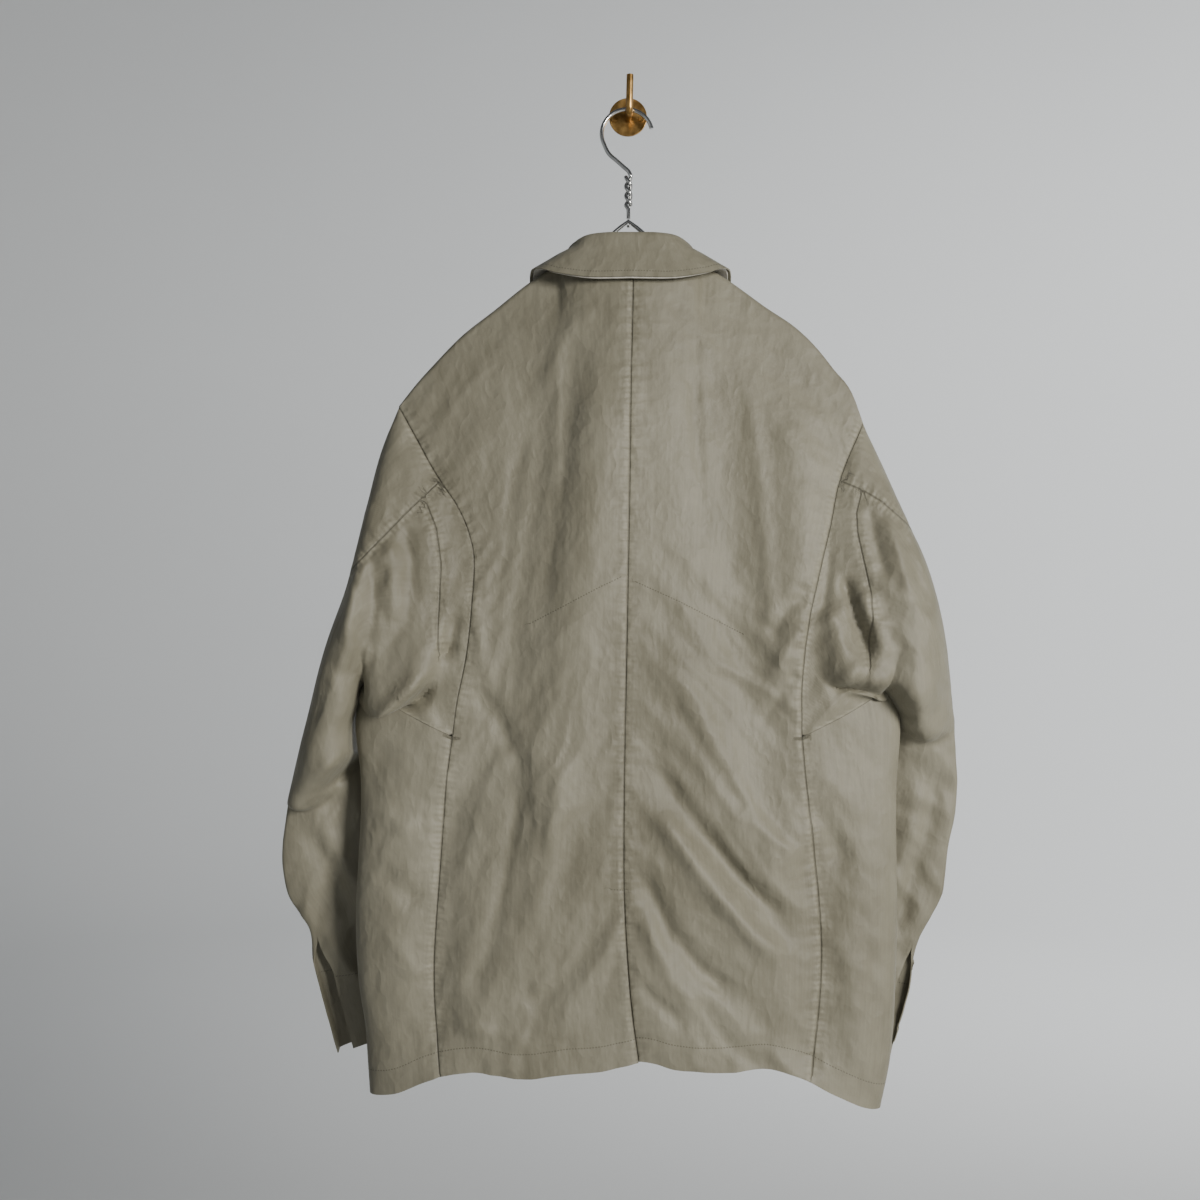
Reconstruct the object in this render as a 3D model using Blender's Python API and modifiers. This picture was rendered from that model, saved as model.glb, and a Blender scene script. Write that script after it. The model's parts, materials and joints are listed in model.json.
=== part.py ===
"""Hip-length coverall jacket, buttoned and hung on a wire hanger from a brass wall hook.

The origin is the centre of the rosette's wall face, the wall is the plane y = 0, the jacket's back faces
-Y and +Z is up. Tables give millimetres; "drop" is the distance below the origin. Every cloth piece is a
wall between its outer face and the same face moved in along normals that neighbours share at their seam.
"""

import math

import bmesh
import bpy
import numpy as np
from mathutils import Matrix

MM = 0.001

# ---------------------------------------------------------------- cloth
CLOTH = 1.3            # thickness of one layer
HEM_CLOTH = 2.1        # turned hem and cuff: layers pressed together
SEAM_HALF = 0.18       # each piece ends this far from its seam line

# ---------------------------------------------------------------- neck and shoulders
NECK_X = 2.0           # centre of the neckline
NECK_HALF = 68.5
NECK_SIDE_DROP = 151.5
NECK_BACK_DIP = 10.5   # the neckline at the back is this far below its sides
NECK_FRONT_DIP = 88.5
NECK_BACK_DEPTH = 30.0
NECK_FRONT_DEPTH = 12.5
RIDGE_RADIUS = 7.0     # cloth folded over the hanger's arm
BACK_SLOPE = 0.22      # how fast the layers part below the shoulder
FRONT_SLOPE = 0.07
HANGER_Y = -14.0       # the hanger's plane leans: y = HANGER_Y - HANGER_LEAN * drop
HANGER_LEAN = 0.08

# Shoulder line, from the neck to the sleeve seam: x, drop
SHOULDER = {
    "right": [(70.5, 151.5), (98, 169), (134, 195.5), (167, 219), (182, 234), (200, 257),
              (220, 286), (228, 310)],
    "left": [(66.5, 151.5), (99, 172.5), (131, 198.5), (166, 227), (190, 252.5), (208, 273),
             (224, 294)],
}
# Armhole seam from the shoulder tip to its low point: drop, distance from x = 0
ARMHOLE = {
    "right": [(310, 228), (348, 209.6), (368, 201.5), (411, 191), (461, 178), (500, 168.5),
              (539, 163), (572, 161), (611, 161)],
    "left": [(294, 224), (333, 202), (369, 181), (390, 166), (411, 155.5), (437, 148),
             (470, 148), (510, 151), (541, 155), (581, 163), (611, 167)],
}
HEM_REACH = 250.0      # the hem's turn from back to front is this far from x = 0
LOW_DROP = 611.0       # level of the armhole's low point, where the side seams start
SIDE_TOP_DROP = 562.0  # the side panel rises to here under the arm

# Side-back seam, and the side-front seam in front of it: drop, distance from x = 0
SIDE_SEAM = {
    "right": [(611, 161), (646, 163.5), (698, 170), (764, 177), (805, 179.5), (860, 177.5),
              (930, 169)],
    "left": [(611, 167), (650, 172), (695, 176), (751, 179.5), (847, 184), (895, 180.5),
             (925, 177.5)],
}
# Centre-back seam: drop, x
CENTRE_SEAM = [(162, 4), (285, 1), (353, 0), (483, -2.5), (558, -4), (671, -6), (752, -6),
               (799, -4), (867, 1.5), (914, 8)]
# Body's edges seen from behind (above the armhole they are the line that the sleeve covers):
# drop, left x, right x
BODY_EDGE = [(150, -335, 325), (300, -322, 312), (420, -302, 295), (500, -274, 270),
             (562, -247, 241), (600, -249, 246), (656, -254, 253), (718, -258, 255),
             (791, -261, 255.5), (850, -258, 254), (891, -252, 252), (921, -250, 249),
             (966, -247, 240)]
# Depth of the body's hollow: drop, y of its edges, y of the back, y of the front
BODY_DEPTH = [(150, -40, -80, -20), (300, -46, -88, -16), (450, -54, -98, -13),
              (613, -60, -103, -12), (760, -62, -108, -12), (960, -60, -106, -12)]
BACK_ROUNDNESS = 2.6   # superellipse exponents of the two layers
FRONT_ROUNDNESS = 2.0

# Hem line: x, drop
HEM_BACK = [(-250, 952), (-222, 946), (-192, 932), (-151, 922), (-96, 927), (-62, 922.5),
            (-29, 920), (-1, 914), (8, 912), (43, 918), (86, 921), (132, 919.5),
            (152, 925), (170, 932), (197, 946), (236, 963), (250, 966)]
HEM_FRONT = [(-250, 952), (-200, 940), (-120, 929), (0, 926), (120, 929), (200, 946), (250, 966)]

# ---------------------------------------------------------------- folds of the hanging cloth
# Each fold is a soft ridge (height above 0) or trough (below 0) along a line of places x, drop.
BACK_FOLDS = [
    # name, height, half width, places
    ("trough beside the left shoulder blade", -13, 27,
     [(-69, 200), (-77, 277), (-92, 342), (-103, 408), (-114, 483), (-127, 557), (-142, 632),
      (-157, 707), (-170, 775)]),
    ("ridge down the left half", 9, 30,
     [(-19, 230), (-28, 314), (-35, 389), (-47, 483), (-60, 576), (-73, 670), (-89, 744)]),
    ("trough in the right half", -11, 26,
     [(77, 202), (82, 296), (92, 389), (101, 483), (110, 576), (131, 651), (154, 716)]),
    ("ridge by the right armhole", 8, 24,
     [(148, 277), (162, 352), (163, 427), (157, 501), (152, 576)]),
    ("upper slanting ridge", 9, 20,
     [(23, 520), (56, 576), (80, 632), (108, 688), (159, 754)]),
    ("upper slanting trough", -9, 17,
     [(9, 595), (47, 670), (84, 726), (122, 772), (168, 819)]),
    ("lower slanting ridge", 7, 18,
     [(19, 670), (66, 735), (112, 791), (150, 830)]),
    ("lower slanting trough", -6, 16,
     [(6, 735), (39, 796), (66, 829), (103, 862)]),
    ("trough beside the vent", -6, 16,
     [(-35, 773), (-64, 825), (-102, 862)]),
    ("hollow at the left side seam", -8, 24, [(-172, 640), (-179, 751), (-184, 847), (-178, 925)]),
    ("hollow at the right side seam", -9, 26, [(176, 690), (181, 790), (181, 880), (176, 930)]),
]
FRONT_FOLDS = [
    ("left front hang", 5, 34, [(-60, 270), (-75, 450), (-95, 700), (-110, 930)]),
    ("right front hang", 5, 34, [(70, 270), (85, 450), (95, 700), (115, 930)]),
    ("left front trough", -5, 30, [(-120, 300), (-135, 500), (-150, 800)]),
    ("right front trough", -5, 30, [(125, 300), (140, 500), (155, 800)]),
]
SLEEVE_FOLDS = [
    ("left roll over the elbow", 9, 22,
     [(-165, 500), (-195, 535), (-240, 575), (-285, 615), (-312, 640)]),
    ("left crease above the roll", -8, 20, [(-190, 470), (-225, 505), (-270, 560)]),
    ("left ridge from the cap", 6, 18, [(-200, 400), (-215, 450), (-228, 490)]),
    ("right roll over the elbow", 8, 20, [(190, 520), (225, 530), (262, 545), (292, 580)]),
    ("right crease above the roll", -8, 18, [(215, 430), (228, 470), (240, 500)]),
    ("right ridge by the armhole", 7, 16, [(193, 430), (188, 480), (184, 530)]),
]

# ---------------------------------------------------------------- sleeves
# A section runs from the sleeve's outer edge to its inner edge. Columns: outer x, outer drop, outer y,
# inner x, inner drop, inner y, depth of the back layer, depth of the front layer
SLEEVE = {
    "right": [
        (228, 310, -39, 241, 562, -60, 26, 14),
        (250, 359, -44, 241, 557, -61, 38, 19),
        (270, 407, -48, 242, 554, -60, 46, 21),
        (287, 449, -50, 243, 553, -58, 48, 22),
        (300, 497, -50, 246, 555, -55, 48, 21),
        (308, 545, -48, 250, 564, -51, 42, 19),
        (314, 588, -45, 256, 592, -40, 26, 14),
        (318, 630, -39, 246, 640, -27, 15, 11),
        (320, 677, -34, 220, 690, -19.5, 12, 9),
        (313, 718, -31, 208, 738, -17, 11, 8.5),
        (306, 772, -28, 201, 785, -15.5, 10, 8),
        (284, 815, -25, 194, 815, -14.5, 9, 7.5),
        (277, 860, -23.5, 186, 850, -14, 9, 7.5),
        (256, 934, -22, 168, 905, -13, 9, 7.5),
    ],
    "left": [
        (-224, 294, -37.5, -247, 562, -60, 26, 14),
        (-246, 352, -44, -248, 557, -61, 38, 19),
        (-257, 410, -48, -249, 553, -60, 46, 21),
        (-270, 465, -50, -250, 551, -58, 50, 22),
        (-290, 522, -50, -252, 552, -56, 50, 21),
        (-308, 590, -48, -255, 562, -52, 45, 19),
        (-321, 640, -45, -261, 586, -44, 32, 15),
        (-331, 685, -40, -254, 632, -29, 17, 12),
        (-335.5, 735, -35, -226, 690, -20, 12, 10),
        (-331, 765, -31, -210, 735, -17, 11, 9),
        (-311, 800, -28, -203, 775, -15.5, 10, 8),
        (-309, 830, -25, -199, 812, -14.5, 9, 7.5),
        (-301, 862, -23.5, -195, 848, -14, 9, 7.5),
        (-285, 922, -22, -188, 888, -13, 9, 7.5),
    ],
}
# Distances along the sleeve's outer edge: where the cap's seam meets it, the slit starts, the cuff starts
CAP_EDGE = {"right": 122.0, "left": 172.0}
SLIT_START = {"right": 530.0, "left": 534.0}
CUFF_START = {"right": 571.0, "left": 573.0}
FLAT_ROUNDNESS = 0.5   # how full the ends of a flat section are: 1 is an ellipse, less is blunter
WALL_CLEAR = -2.6      # nothing of the cloth comes closer to the wall
ARM_BLEND = 0.22       # share of the sleeve over which the armhole's outline turns into sections
BACK_SEAM_LOW = 0.045  # where the sleeve's back seam lies on the forearm, as a share of the girth
BACK_SEAM_TURN = (0.42, 0.72)  # it crosses to there between these shares of the length
SLIT_NEAR, SLIT_FAR = 0.050, 0.040  # the slit's edges part by these shares of the girth

# ---------------------------------------------------------------- how finely the cloth is cut
NECK_COLUMNS = (0.0, 0.36, 0.70, 0.90, 0.975, 1.0)
SHOULDER_COLUMNS = 8
NECK_FADE = 0.3        # the rows lose the neckline's curve over this share of the armhole's height
COLUMN_LEAN = {"back": 0.02, "front": 0.12}  # how far the columns beside the neck lean out below it
ARM_ROWS = (0.0, 0.013, 0.037, 0.090, 0.160, 0.212, 0.30, 0.39, 0.48, 0.57, 0.66, 0.76, 0.88, 1.0)
LOW_ROWS = (0.09, 0.185, 0.28, 0.375, 0.47, 0.56, 0.65, 0.735, 0.81, 0.87, 0.922, 1.0)
CAP_SEAM_ROW = 5       # the armhole row at which the cap's seam ends
SIDE_STEPS = 8         # columns of a side panel
DIAGONAL_TIE = 0.05    # a quad's diagonals this close in length count as equal
SLEEVE_ROWS = 15
CUFF_ROWS = 3
CAP_ROWS = 6

# ---------------------------------------------------------------- vent and front lap
VENT_ROW = len(ARM_ROWS) + 4  # the row of the bar tack at the vent's top
VENT_DEPTH = 3.4       # the underlap lies this far inside the left half
VENT_LAP = 36.0        # width of the underlap
FRONT_LAP = 18.0       # each front passes the centre by this much
FRONT_LAP_DEPTH = 3.1  # the right front lies this far inside the left one

# ---------------------------------------------------------------- collar
# Right half, from the centre back (turn 0) to the centre front (turn 1). Columns: turn, then x from the
# neck's centre, y and drop of the fold line, then the same of the fall's lower edge
COLLAR = [
    (0.00, 0, -55, 130.5, 0, -68, 174.5),
    (0.15, 26, -53.5, 130.5, 42, -66.5, 174.5),
    (0.28, 43, -49, 132, 72, -60, 169),
    (0.40, 54, -41, 136, 89, -48, 162.5),
    (0.50, 59.5, -28, 139, 97.5, -29.5, 162),
    (0.56, 60, -20, 145.5, 99, -19.5, 170),
    (0.64, 58, -18.2, 157, 97, -14.8, 189),
    (0.76, 47, -18.2, 182, 83, -14.3, 224),
    (0.88, 27, -18.5, 208, 60, -14.3, 254),
    (1.00, 3, -18.5, 228, 13, -15.5, 250),
]
COLLAR_CLOTH = 1.3
COLLAR_FOLD = 1.4      # half the space inside the turned fold
COLLAR_FIRST, COLLAR_END = 0.02, 0.985
COLLAR_STEP = 0.05     # places further apart than this get one more between them
UNDER_PEEP = 4.0       # the under collar shows this far below the fall at the centre back
UNDER_GAP = 0.5        # between the fall and the under collar
NECK_GAP = 0.15        # beyond the seam allowance, between the stand and the neckline

# ---------------------------------------------------------------- buttons
BUTTON_RADIUS = 9.0
BUTTON_THICK = 3.2
BUTTON_DROPS = (268, 396, 524, 652, 780)
BUTTON_GAP = 0.9

# ---------------------------------------------------------------- hanger and wall hook
WIRE = 4.1             # the hanger's wire
HOOK_RADIUS = 25.0
HOOK_X = -1.3
HOOK_FROM, HOOK_TO = 12.0, 205.0  # degrees round the hook's circle, from its tip
TWIST_TOP, TWIST_BOTTOM = 65.0, 94.0
TWIST_RADIUS = 2.3
TWIST_TURNS = 1.5
SHANK_END = 107.4
APEX_DROP = 109.0
ARM_X = 171.0          # where the triangle's arms end
ARM_STEEP = 0.86       # slope of the arms near the apex
ARM_BEND_X = 76.0      # beyond this they are flatter
ARM_CLEAR = 6.8        # below the shoulder line there
TIP_ROUND = 12.0
APEX_BLUNT = 0.8       # the wire turns a little below the arms' meeting point
STUD_RADIUS = 1.8
STUD_CLEAR = 3.0       # from the wire's centre line to the stud
ROSETTE_RADIUS, ROSETTE_THICK, ROSETTE_BEVEL = 19.0, 3.0, 0.5
PEG_WIRE = 6.9
PEG_DROP = 2.0
PEG_REACH = 23.6       # from the wall to the upturned end's centre
PEG_TOP = 34.5
PEG_BEND = 6.0
SCREW_X, SCREW_RADIUS, SCREW_THICK = 13.4, 3.1, 1.4
METAL_GAP = 0.3

COLOURS = {
    # name: base colour, roughness, metallic
    "olive cotton": ((0.205, 0.190, 0.142), 0.62, 0.0),
    "pale cotton": ((0.420, 0.405, 0.345), 0.75, 0.0),
    "horn button": ((0.075, 0.060, 0.042), 0.35, 0.0),
    "bright wire": ((0.62, 0.62, 0.60), 0.18, 1.0),
    "old brass": ((0.42, 0.27, 0.10), 0.35, 1.0),
}


# ================================================================ curves through tables
def table_curve(rows):
    """Smooth curve through a table: its first column is the place along it, the rest is returned."""
    data = np.array(rows, float)
    keys, values = data[:, 0], data[:, 1:]
    slopes = np.gradient(values, keys, axis=0)

    def at(key):
        key = np.clip(np.asarray(key, float), keys[0], keys[-1])
        index = np.clip(np.searchsorted(keys, key, side="right") - 1, 0, len(keys) - 2)
        span = keys[index + 1] - keys[index]
        f = ((key - keys[index]) / span)[..., None]
        span = span[..., None]
        near, far = values[index], values[index + 1]
        start, end = slopes[index] * span, slopes[index + 1] * span
        bow = f * (1 - f)
        value = near + (far - near) * f * f * (3 - 2 * f)
        value = value + bow * (1 - f) * start - bow * f * end
        return value[..., 0] if value.shape[-1] == 1 else value

    return at


def ramp(value, low, high):
    """0 below low, 1 above high, smooth between."""
    f = np.clip((np.asarray(value, float) - low) / (high - low), 0, 1)
    return f * f * (3 - 2 * f)


def mix(a, b, f):
    return a + (b - a) * f


SIGN = {"left": -1.0, "right": 1.0}
shoulder_at = {side: table_curve(rows) for side, rows in SHOULDER.items()}
armhole_at = {side: table_curve(rows) for side, rows in ARMHOLE.items()}
side_seam_at = {side: table_curve(rows) for side, rows in SIDE_SEAM.items()}
centre_seam_at = table_curve(CENTRE_SEAM)
body_edge_at = table_curve(BODY_EDGE)
body_depth_at = table_curve(BODY_DEPTH)
hem_at = {"back": table_curve(HEM_BACK), "front": table_curve(HEM_FRONT)}


def fold_height(folds, x, drop):
    """Sum of soft ridges and troughs at places of the cloth."""
    total = np.zeros(np.broadcast(x, drop).shape)
    for _, height, half_width, places in folds:
        places = np.array(places, float)
        lengths = np.r_[0, np.cumsum(np.hypot(*np.diff(places, axis=0).T))]
        best = np.full(total.shape, 1e9)
        along = np.zeros(total.shape)
        for i in range(len(places) - 1):
            a, step = places[i], places[i + 1] - places[i]
            f = np.clip(((x - a[0]) * step[0] + (drop - a[1]) * step[1]) / (step @ step), 0, 1)
            away = np.hypot(x - a[0] - f * step[0], drop - a[1] - f * step[1])
            closer = away < best
            along = np.where(closer, mix(lengths[i], lengths[i + 1], f), along)
            best = np.minimum(best, away)
        share = along / lengths[-1]
        fade = ramp(share, 0.0, 0.18) * ramp(1 - share, 0.0, 0.18)
        total += height * fade * np.exp(-((best / half_width) ** 2))
    return total


# ================================================================ the body's two layers
def neck_share(x):
    """1 at the neck's centre, 0 at its sides and beyond."""
    return np.sqrt(np.clip(1 - ((x - NECK_X) / NECK_HALF) ** 2, 0, 1))


def top_drop(x, layer):
    """Drop of the neckline and of the shoulder line beside it."""
    inside = np.abs(x - NECK_X) < NECK_HALF
    dip = NECK_BACK_DIP if layer == "back" else NECK_FRONT_DIP
    neck = NECK_SIDE_DROP + dip * neck_share(x)
    shoulder = np.where(x > NECK_X, shoulder_at["right"](x), shoulder_at["left"](-np.asarray(x)))
    return np.where(inside, neck, shoulder)


def soft_min(a, b):
    """The smaller of two lengths, with a smooth change where they cross."""
    power = 4.0
    a, b = np.maximum(a, 1e-6), np.maximum(b, 1e-6)
    return (a ** -power + b ** -power) ** (-1 / power)


def layer_y(x, drop, layer):
    """Depth of the back or front layer, with its folds."""
    x, drop = np.asarray(x, float), np.asarray(drop, float)
    edges, depths = body_edge_at(drop), body_depth_at(drop)
    centre = (edges[..., 0] + edges[..., 1]) / 2
    half = (edges[..., 1] - edges[..., 0]) / 2
    edge_y, back_y, front_y = depths[..., 0], depths[..., 1], depths[..., 2]
    power = BACK_ROUNDNESS if layer == "back" else FRONT_ROUNDNESS
    away = np.clip(np.abs(x - centre) / half, 0, 1)
    round_share = np.clip(1 - away ** power, 0, 1) ** (1 / power)
    top = top_drop(x, layer)
    below = np.maximum(drop - top, 0)
    start_y = HANGER_Y - HANGER_LEAN * top
    neck = neck_share(x)
    radius = RIDGE_RADIUS * (1 - neck) + 1e-6
    turn = radius * np.sqrt(np.clip(1 - (1 - np.minimum(below / radius, 1)) ** 2, 0, 1))
    fade = ramp(below, 5, 70) * ramp(1 - away, 0.02, 0.22)
    if layer == "back":
        ring = edge_y + (back_y - edge_y) * round_share
        parted = NECK_BACK_DEPTH * neck + turn + BACK_SLOPE * np.maximum(below - radius, 0)
        depth = soft_min(parted, start_y - ring)
        return start_y - depth - fade * fold_height(BACK_FOLDS, x, drop)
    ring = edge_y + (front_y - edge_y) * round_share
    parted = NECK_FRONT_DEPTH * neck ** 0.5 + turn + FRONT_SLOPE * np.maximum(below - radius, 0)
    depth = soft_min(parted, np.maximum(ring - start_y, 0.5))
    blended = mix(start_y + depth, ring, ramp(below, 60, 260))
    return np.minimum(blended + fade * fold_height(FRONT_FOLDS, x, drop), -5.0)


def outward(side, x):
    return SIGN[side] * x


def body_rows(side, layer):
    """Places x and drop of a body panel, row by row from the top edge down to the hem."""
    neck_x = NECK_X + SIGN[side] * NECK_HALF
    tip_drop = ARMHOLE[side][0][0]
    tip_x = outward(side, ARMHOLE[side][0][1])
    if layer == "back":
        centre_at, centre_top = centre_seam_at, NECK_SIDE_DROP + NECK_BACK_DIP
    else:
        lap_x = NECK_X - SIGN[side] * FRONT_LAP

        def centre_at(drop):
            return np.full(np.shape(drop), lap_x)

        centre_top = float(top_drop(np.array(lap_x), "front"))
    top_x0 = float(centre_at(np.array(centre_top)))
    neck_shares = [s * (neck_x - top_x0) / (tip_x - top_x0) for s in NECK_COLUMNS]
    rest = np.linspace(neck_shares[-1], 1, SHOULDER_COLUMNS + 1)[1:]
    columns = np.r_[neck_shares, rest]
    top_x = mix(top_x0, tip_x, columns)
    top = top_drop(top_x, layer)
    top[len(NECK_COLUMNS) - 1] = NECK_SIDE_DROP
    top[-1] = tip_drop
    lean = np.interp(columns, [0, neck_shares[-1], 1], [0, COLUMN_LEAN[layer], 0])

    def spread(f):
        """The columns lean away from the neckline, which is steep beside the neck."""
        return columns + lean * (1 - math.exp(-f / 0.08))

    rows = []
    even = np.interp(columns, [0, neck_shares[-1]], [top[0], NECK_SIDE_DROP])
    even = np.where(columns < neck_shares[-1], even, top)
    for f in ARM_ROWS:
        drop = mix(mix(top, even, float(ramp(f, 0, NECK_FADE))), LOW_DROP, f)
        inner = centre_at(mix(centre_top, LOW_DROP, f))
        outer = outward(side, armhole_at[side](mix(tip_drop, LOW_DROP, f)))
        rows.append((mix(inner, outer, spread(f)), drop))
    bottom_in = centre_at(np.array(914.0))
    bottom_out = outward(side, side_seam_at[side](np.array(928.0)))
    bottom = hem_at[layer](mix(bottom_in, bottom_out, spread(1)))
    for f in LOW_ROWS:
        drop = mix(LOW_DROP, bottom, f)
        inner = centre_at(drop)
        outer = outward(side, side_seam_at[side](drop))
        rows.append((mix(inner, outer, spread(1)), drop))
    return rows


def body_panel(side, layer):
    """Points of a back half or a front, with its underlap or lap."""
    x = np.array([row[0] for row in body_rows(side, layer)])
    drop = np.array([row[1] for row in body_rows(side, layer)])
    y = layer_y(x, drop, layer)
    mask = None
    if layer == "front" and side == "right":
        y = y - FRONT_LAP_DEPTH * (1 - ramp(x, NECK_X + FRONT_LAP + 4, NECK_X + FRONT_LAP + 40))
    if layer == "back" and side == "right":
        low = np.arange(len(x)) > VENT_ROW
        y[low, 0] += VENT_DEPTH
        y[low, 1] += 0.3 * VENT_DEPTH
        lap_x = np.stack([x[:, 0] - VENT_LAP, x[:, 0] - VENT_LAP / 3], axis=1)
        lap_drop = np.stack([drop[:, 0] - 1.5, drop[:, 0] - 0.5], axis=1)
        lap_y = layer_y(lap_x, lap_drop, "back") + VENT_DEPTH + 0.5
        x, drop = np.hstack([lap_x, x]), np.hstack([lap_drop, drop])
        y = np.hstack([lap_y, y])
        mask = np.ones((len(x) - 1, x.shape[1] - 1), bool)
        mask[:, :2] = low[:-1, None]
    return np.stack([x, y, -drop], axis=-1), mask


def side_panel(side):
    """Points of a side panel, column by column from the side-back seam to the side-front seam."""
    columns = []
    for j in range(SIDE_STEPS + 1):
        q = j / SIDE_STEPS
        layer = "back" if q <= 0.5 else "front"
        power = BACK_ROUNDNESS if layer == "back" else FRONT_ROUNDNESS
        rise = math.sin(math.pi * q)
        top = LOW_DROP - (LOW_DROP - SIDE_TOP_DROP) * rise
        edge_x = outward(side, HEM_REACH)
        seam_x = outward(side, float(side_seam_at[side](np.array(928.0))))
        bottom_x = mix(seam_x, edge_x, math.sin(math.pi * q) ** 0.8)
        bottom = float(hem_at[layer](np.array(bottom_x)))
        drop = mix(top, bottom, np.r_[0, LOW_ROWS])
        edges = body_edge_at(drop)
        centre = (edges[:, 0] + edges[:, 1]) / 2
        half = (edges[:, 1] - edges[:, 0]) / 2
        seam = outward(side, side_seam_at[side](drop))
        start = np.arccos(np.clip(np.abs(seam - centre) / half, 0, 1) ** (power / 2))
        angle = start * abs(1 - 2 * q)
        x = centre + SIGN[side] * half * np.cos(angle) ** (2 / power)
        if j in (0, SIDE_STEPS):
            x = seam
        columns.append(np.stack([x, layer_y(x, drop, layer), -drop], axis=-1))
    return np.stack(columns, axis=1)


# ================================================================ sleeves
def armhole_loop(panels, side):
    """The closed armhole as the panels make it, back, under the arm and front: points and girth shares."""
    count = len(ARM_ROWS)
    back = panels["back_" + side][:count, -1]
    under = panels["side_" + side][0, 1:]
    front = panels["front_" + side][:count, -1][::-1][1:-1]
    loop = np.vstack([back, under, front])
    steps = np.linalg.norm(np.diff(np.vstack([loop, loop[:1]]), axis=0), axis=1)
    half = len(back) - 1 + SIDE_STEPS // 2
    lengths = np.r_[0, np.cumsum(steps)]
    first, second = lengths[half], lengths[-1] - lengths[half]
    share = np.where(np.arange(len(loop)) <= half, 0.5 * lengths[:-1] / first,
                     0.5 + 0.5 * (lengths[:-1] - first) / second)
    return loop, share


def half_section(half_width, depth):
    """Half of a rounded section, from its outer to its inner edge: shares of the girth, across, out."""
    turn = np.linspace(0, np.pi, 121)
    power = mix(FLAT_ROUNDNESS, 1.0, float(ramp(depth / half_width, 0.2, 0.8)))
    out = np.abs(np.sin(turn)) ** power
    lengths = np.r_[0, np.cumsum(np.hypot(np.diff(half_width * np.cos(turn)), np.diff(depth * out)))]
    return lengths / lengths[-1], (1 - np.cos(turn)) / 2, out


def sleeve_surface(side):
    """Returns the function of place along and round the sleeve, and the sleeve's outer length."""
    table = np.array(SLEEVE[side], float)
    lengths = np.r_[0, np.cumsum(np.hypot(*np.diff(table[:, :2], axis=0).T))]
    section_at = table_curve(np.column_stack([lengths / lengths[-1], table]))

    def at(along, girth):
        x0, drop0, y0, x1, drop1, y1, back_depth, front_depth = section_at(along)
        half_width = max(math.hypot(x0 - x1, drop0 - drop1) / 2, 1.0)
        on_back = girth < 0.5
        depth = back_depth if on_back else front_depth
        shares, across, out = half_section(half_width, depth)
        place = 2 * girth if on_back else 2 - 2 * girth
        across = float(np.interp(place, shares, across))
        out = float(np.interp(place, shares, out))
        x, drop = mix(x0, x1, across), mix(drop0, drop1, across)
        y = mix(y0, y1, across) + (-depth if on_back else depth) * out
        if on_back:
            fold = float(fold_height(SLEEVE_FOLDS, np.array(x), np.array(drop)))
            y -= out * float(ramp(along, 0.05, 0.2)) * fold
        return np.array([x, min(y, WALL_CLEAR), -drop])

    return at, lengths[-1]


def sleeve_pieces(panels, side):
    """Point grids of the cap, the outer and under sleeve and the cuff."""
    loop, share = armhole_loop(panels, side)
    count = len(loop)
    surface, length = sleeve_surface(side)
    cap_end = CAP_EDGE[side] / length
    slit, cuff = SLIT_START[side] / length, CUFF_START[side] / length
    seam_column = CAP_SEAM_ROW - 1
    signed = np.where(share > 0.5, share - 1, share)
    edge_share = share[CAP_SEAM_ROW]
    front_edge_share = -signed[count - CAP_SEAM_ROW]
    front_share = 1 + signed[count - seam_column]

    def start_along(column):
        value = signed[column % count]
        limit = edge_share if value >= 0 else front_edge_share
        return cap_end * max(0.0, 1 - abs(value) / limit)

    def point(column, along, girth):
        weight = 1 - (1 - min(along / ARM_BLEND, 1)) ** 2
        return mix(loop[column % count], surface(along, girth), weight)

    def back_seam(along, part):
        low, high = BACK_SEAM_TURN
        place = mix(share[seam_column], BACK_SEAM_LOW, float(ramp(along, low, high)))
        opened = float(ramp(along, slit, cuff))
        return place + (SLIT_NEAR if part == "under" else -SLIT_FAR) * opened

    def strip(part, first, last, rows_from, rows_to):
        """A grid between two columns, whose columns slide with the back seam further down."""
        span = np.arange(first, last + 1)
        base = np.array([signed[c % count] + (1 if part == "under" and signed[c % count] < 0 else 0)
                         for c in span])
        shares = (base - base[0]) / (base[-1] - base[0])
        grid = []
        for f in np.linspace(0, 1, rows_to - rows_from + 1):
            row = []
            for c, s in zip(span, shares):
                begin = start_along(c) if rows_from == 0 else cuff
                along = mix(begin, cuff if rows_from == 0 else 1.0, f)
                seam = back_seam(along, part)
                if part == "under":
                    girth = mix(seam, front_share, s)
                else:
                    girth = mix(front_share - 1, seam, s)
                row.append(point(c, along, girth % 1.0))
            grid.append(row)
        return np.array(grid)

    cap = []
    for f in np.linspace(0, 1, CAP_ROWS):
        cap.append([point(c, start_along(c) * f, share[c % count])
                    for c in range(-CAP_SEAM_ROW, CAP_SEAM_ROW + 1)])
    outer = strip("outer", -seam_column, seam_column, 0, SLEEVE_ROWS)
    under = strip("under", seam_column, count - seam_column, 0, SLEEVE_ROWS)
    cuff_under = strip("under", seam_column, count - seam_column, 1, 1 + CUFF_ROWS)
    cuff_outer = strip("outer", -seam_column, seam_column, 1, 1 + CUFF_ROWS)
    return {
        "sleeve_cap_" + side: np.array(cap),
        "sleeve_outer_" + side: outer,
        "sleeve_under_" + side: under,
        "cuff_" + side: np.concatenate([cuff_under, cuff_outer[:, 1:]], axis=1),
    }


# ================================================================ collar
def neckline(panels, sign, layer, x):
    """The place on a panel's cut neckline at x."""
    side = "right" if sign > 0 else "left"
    row = panels[layer + "_" + side][0, :len(NECK_COLUMNS)]
    order = np.argsort(row[:, 0])
    return np.array([np.interp(x, row[order, 0], row[order, i]) for i in range(3)])


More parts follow.
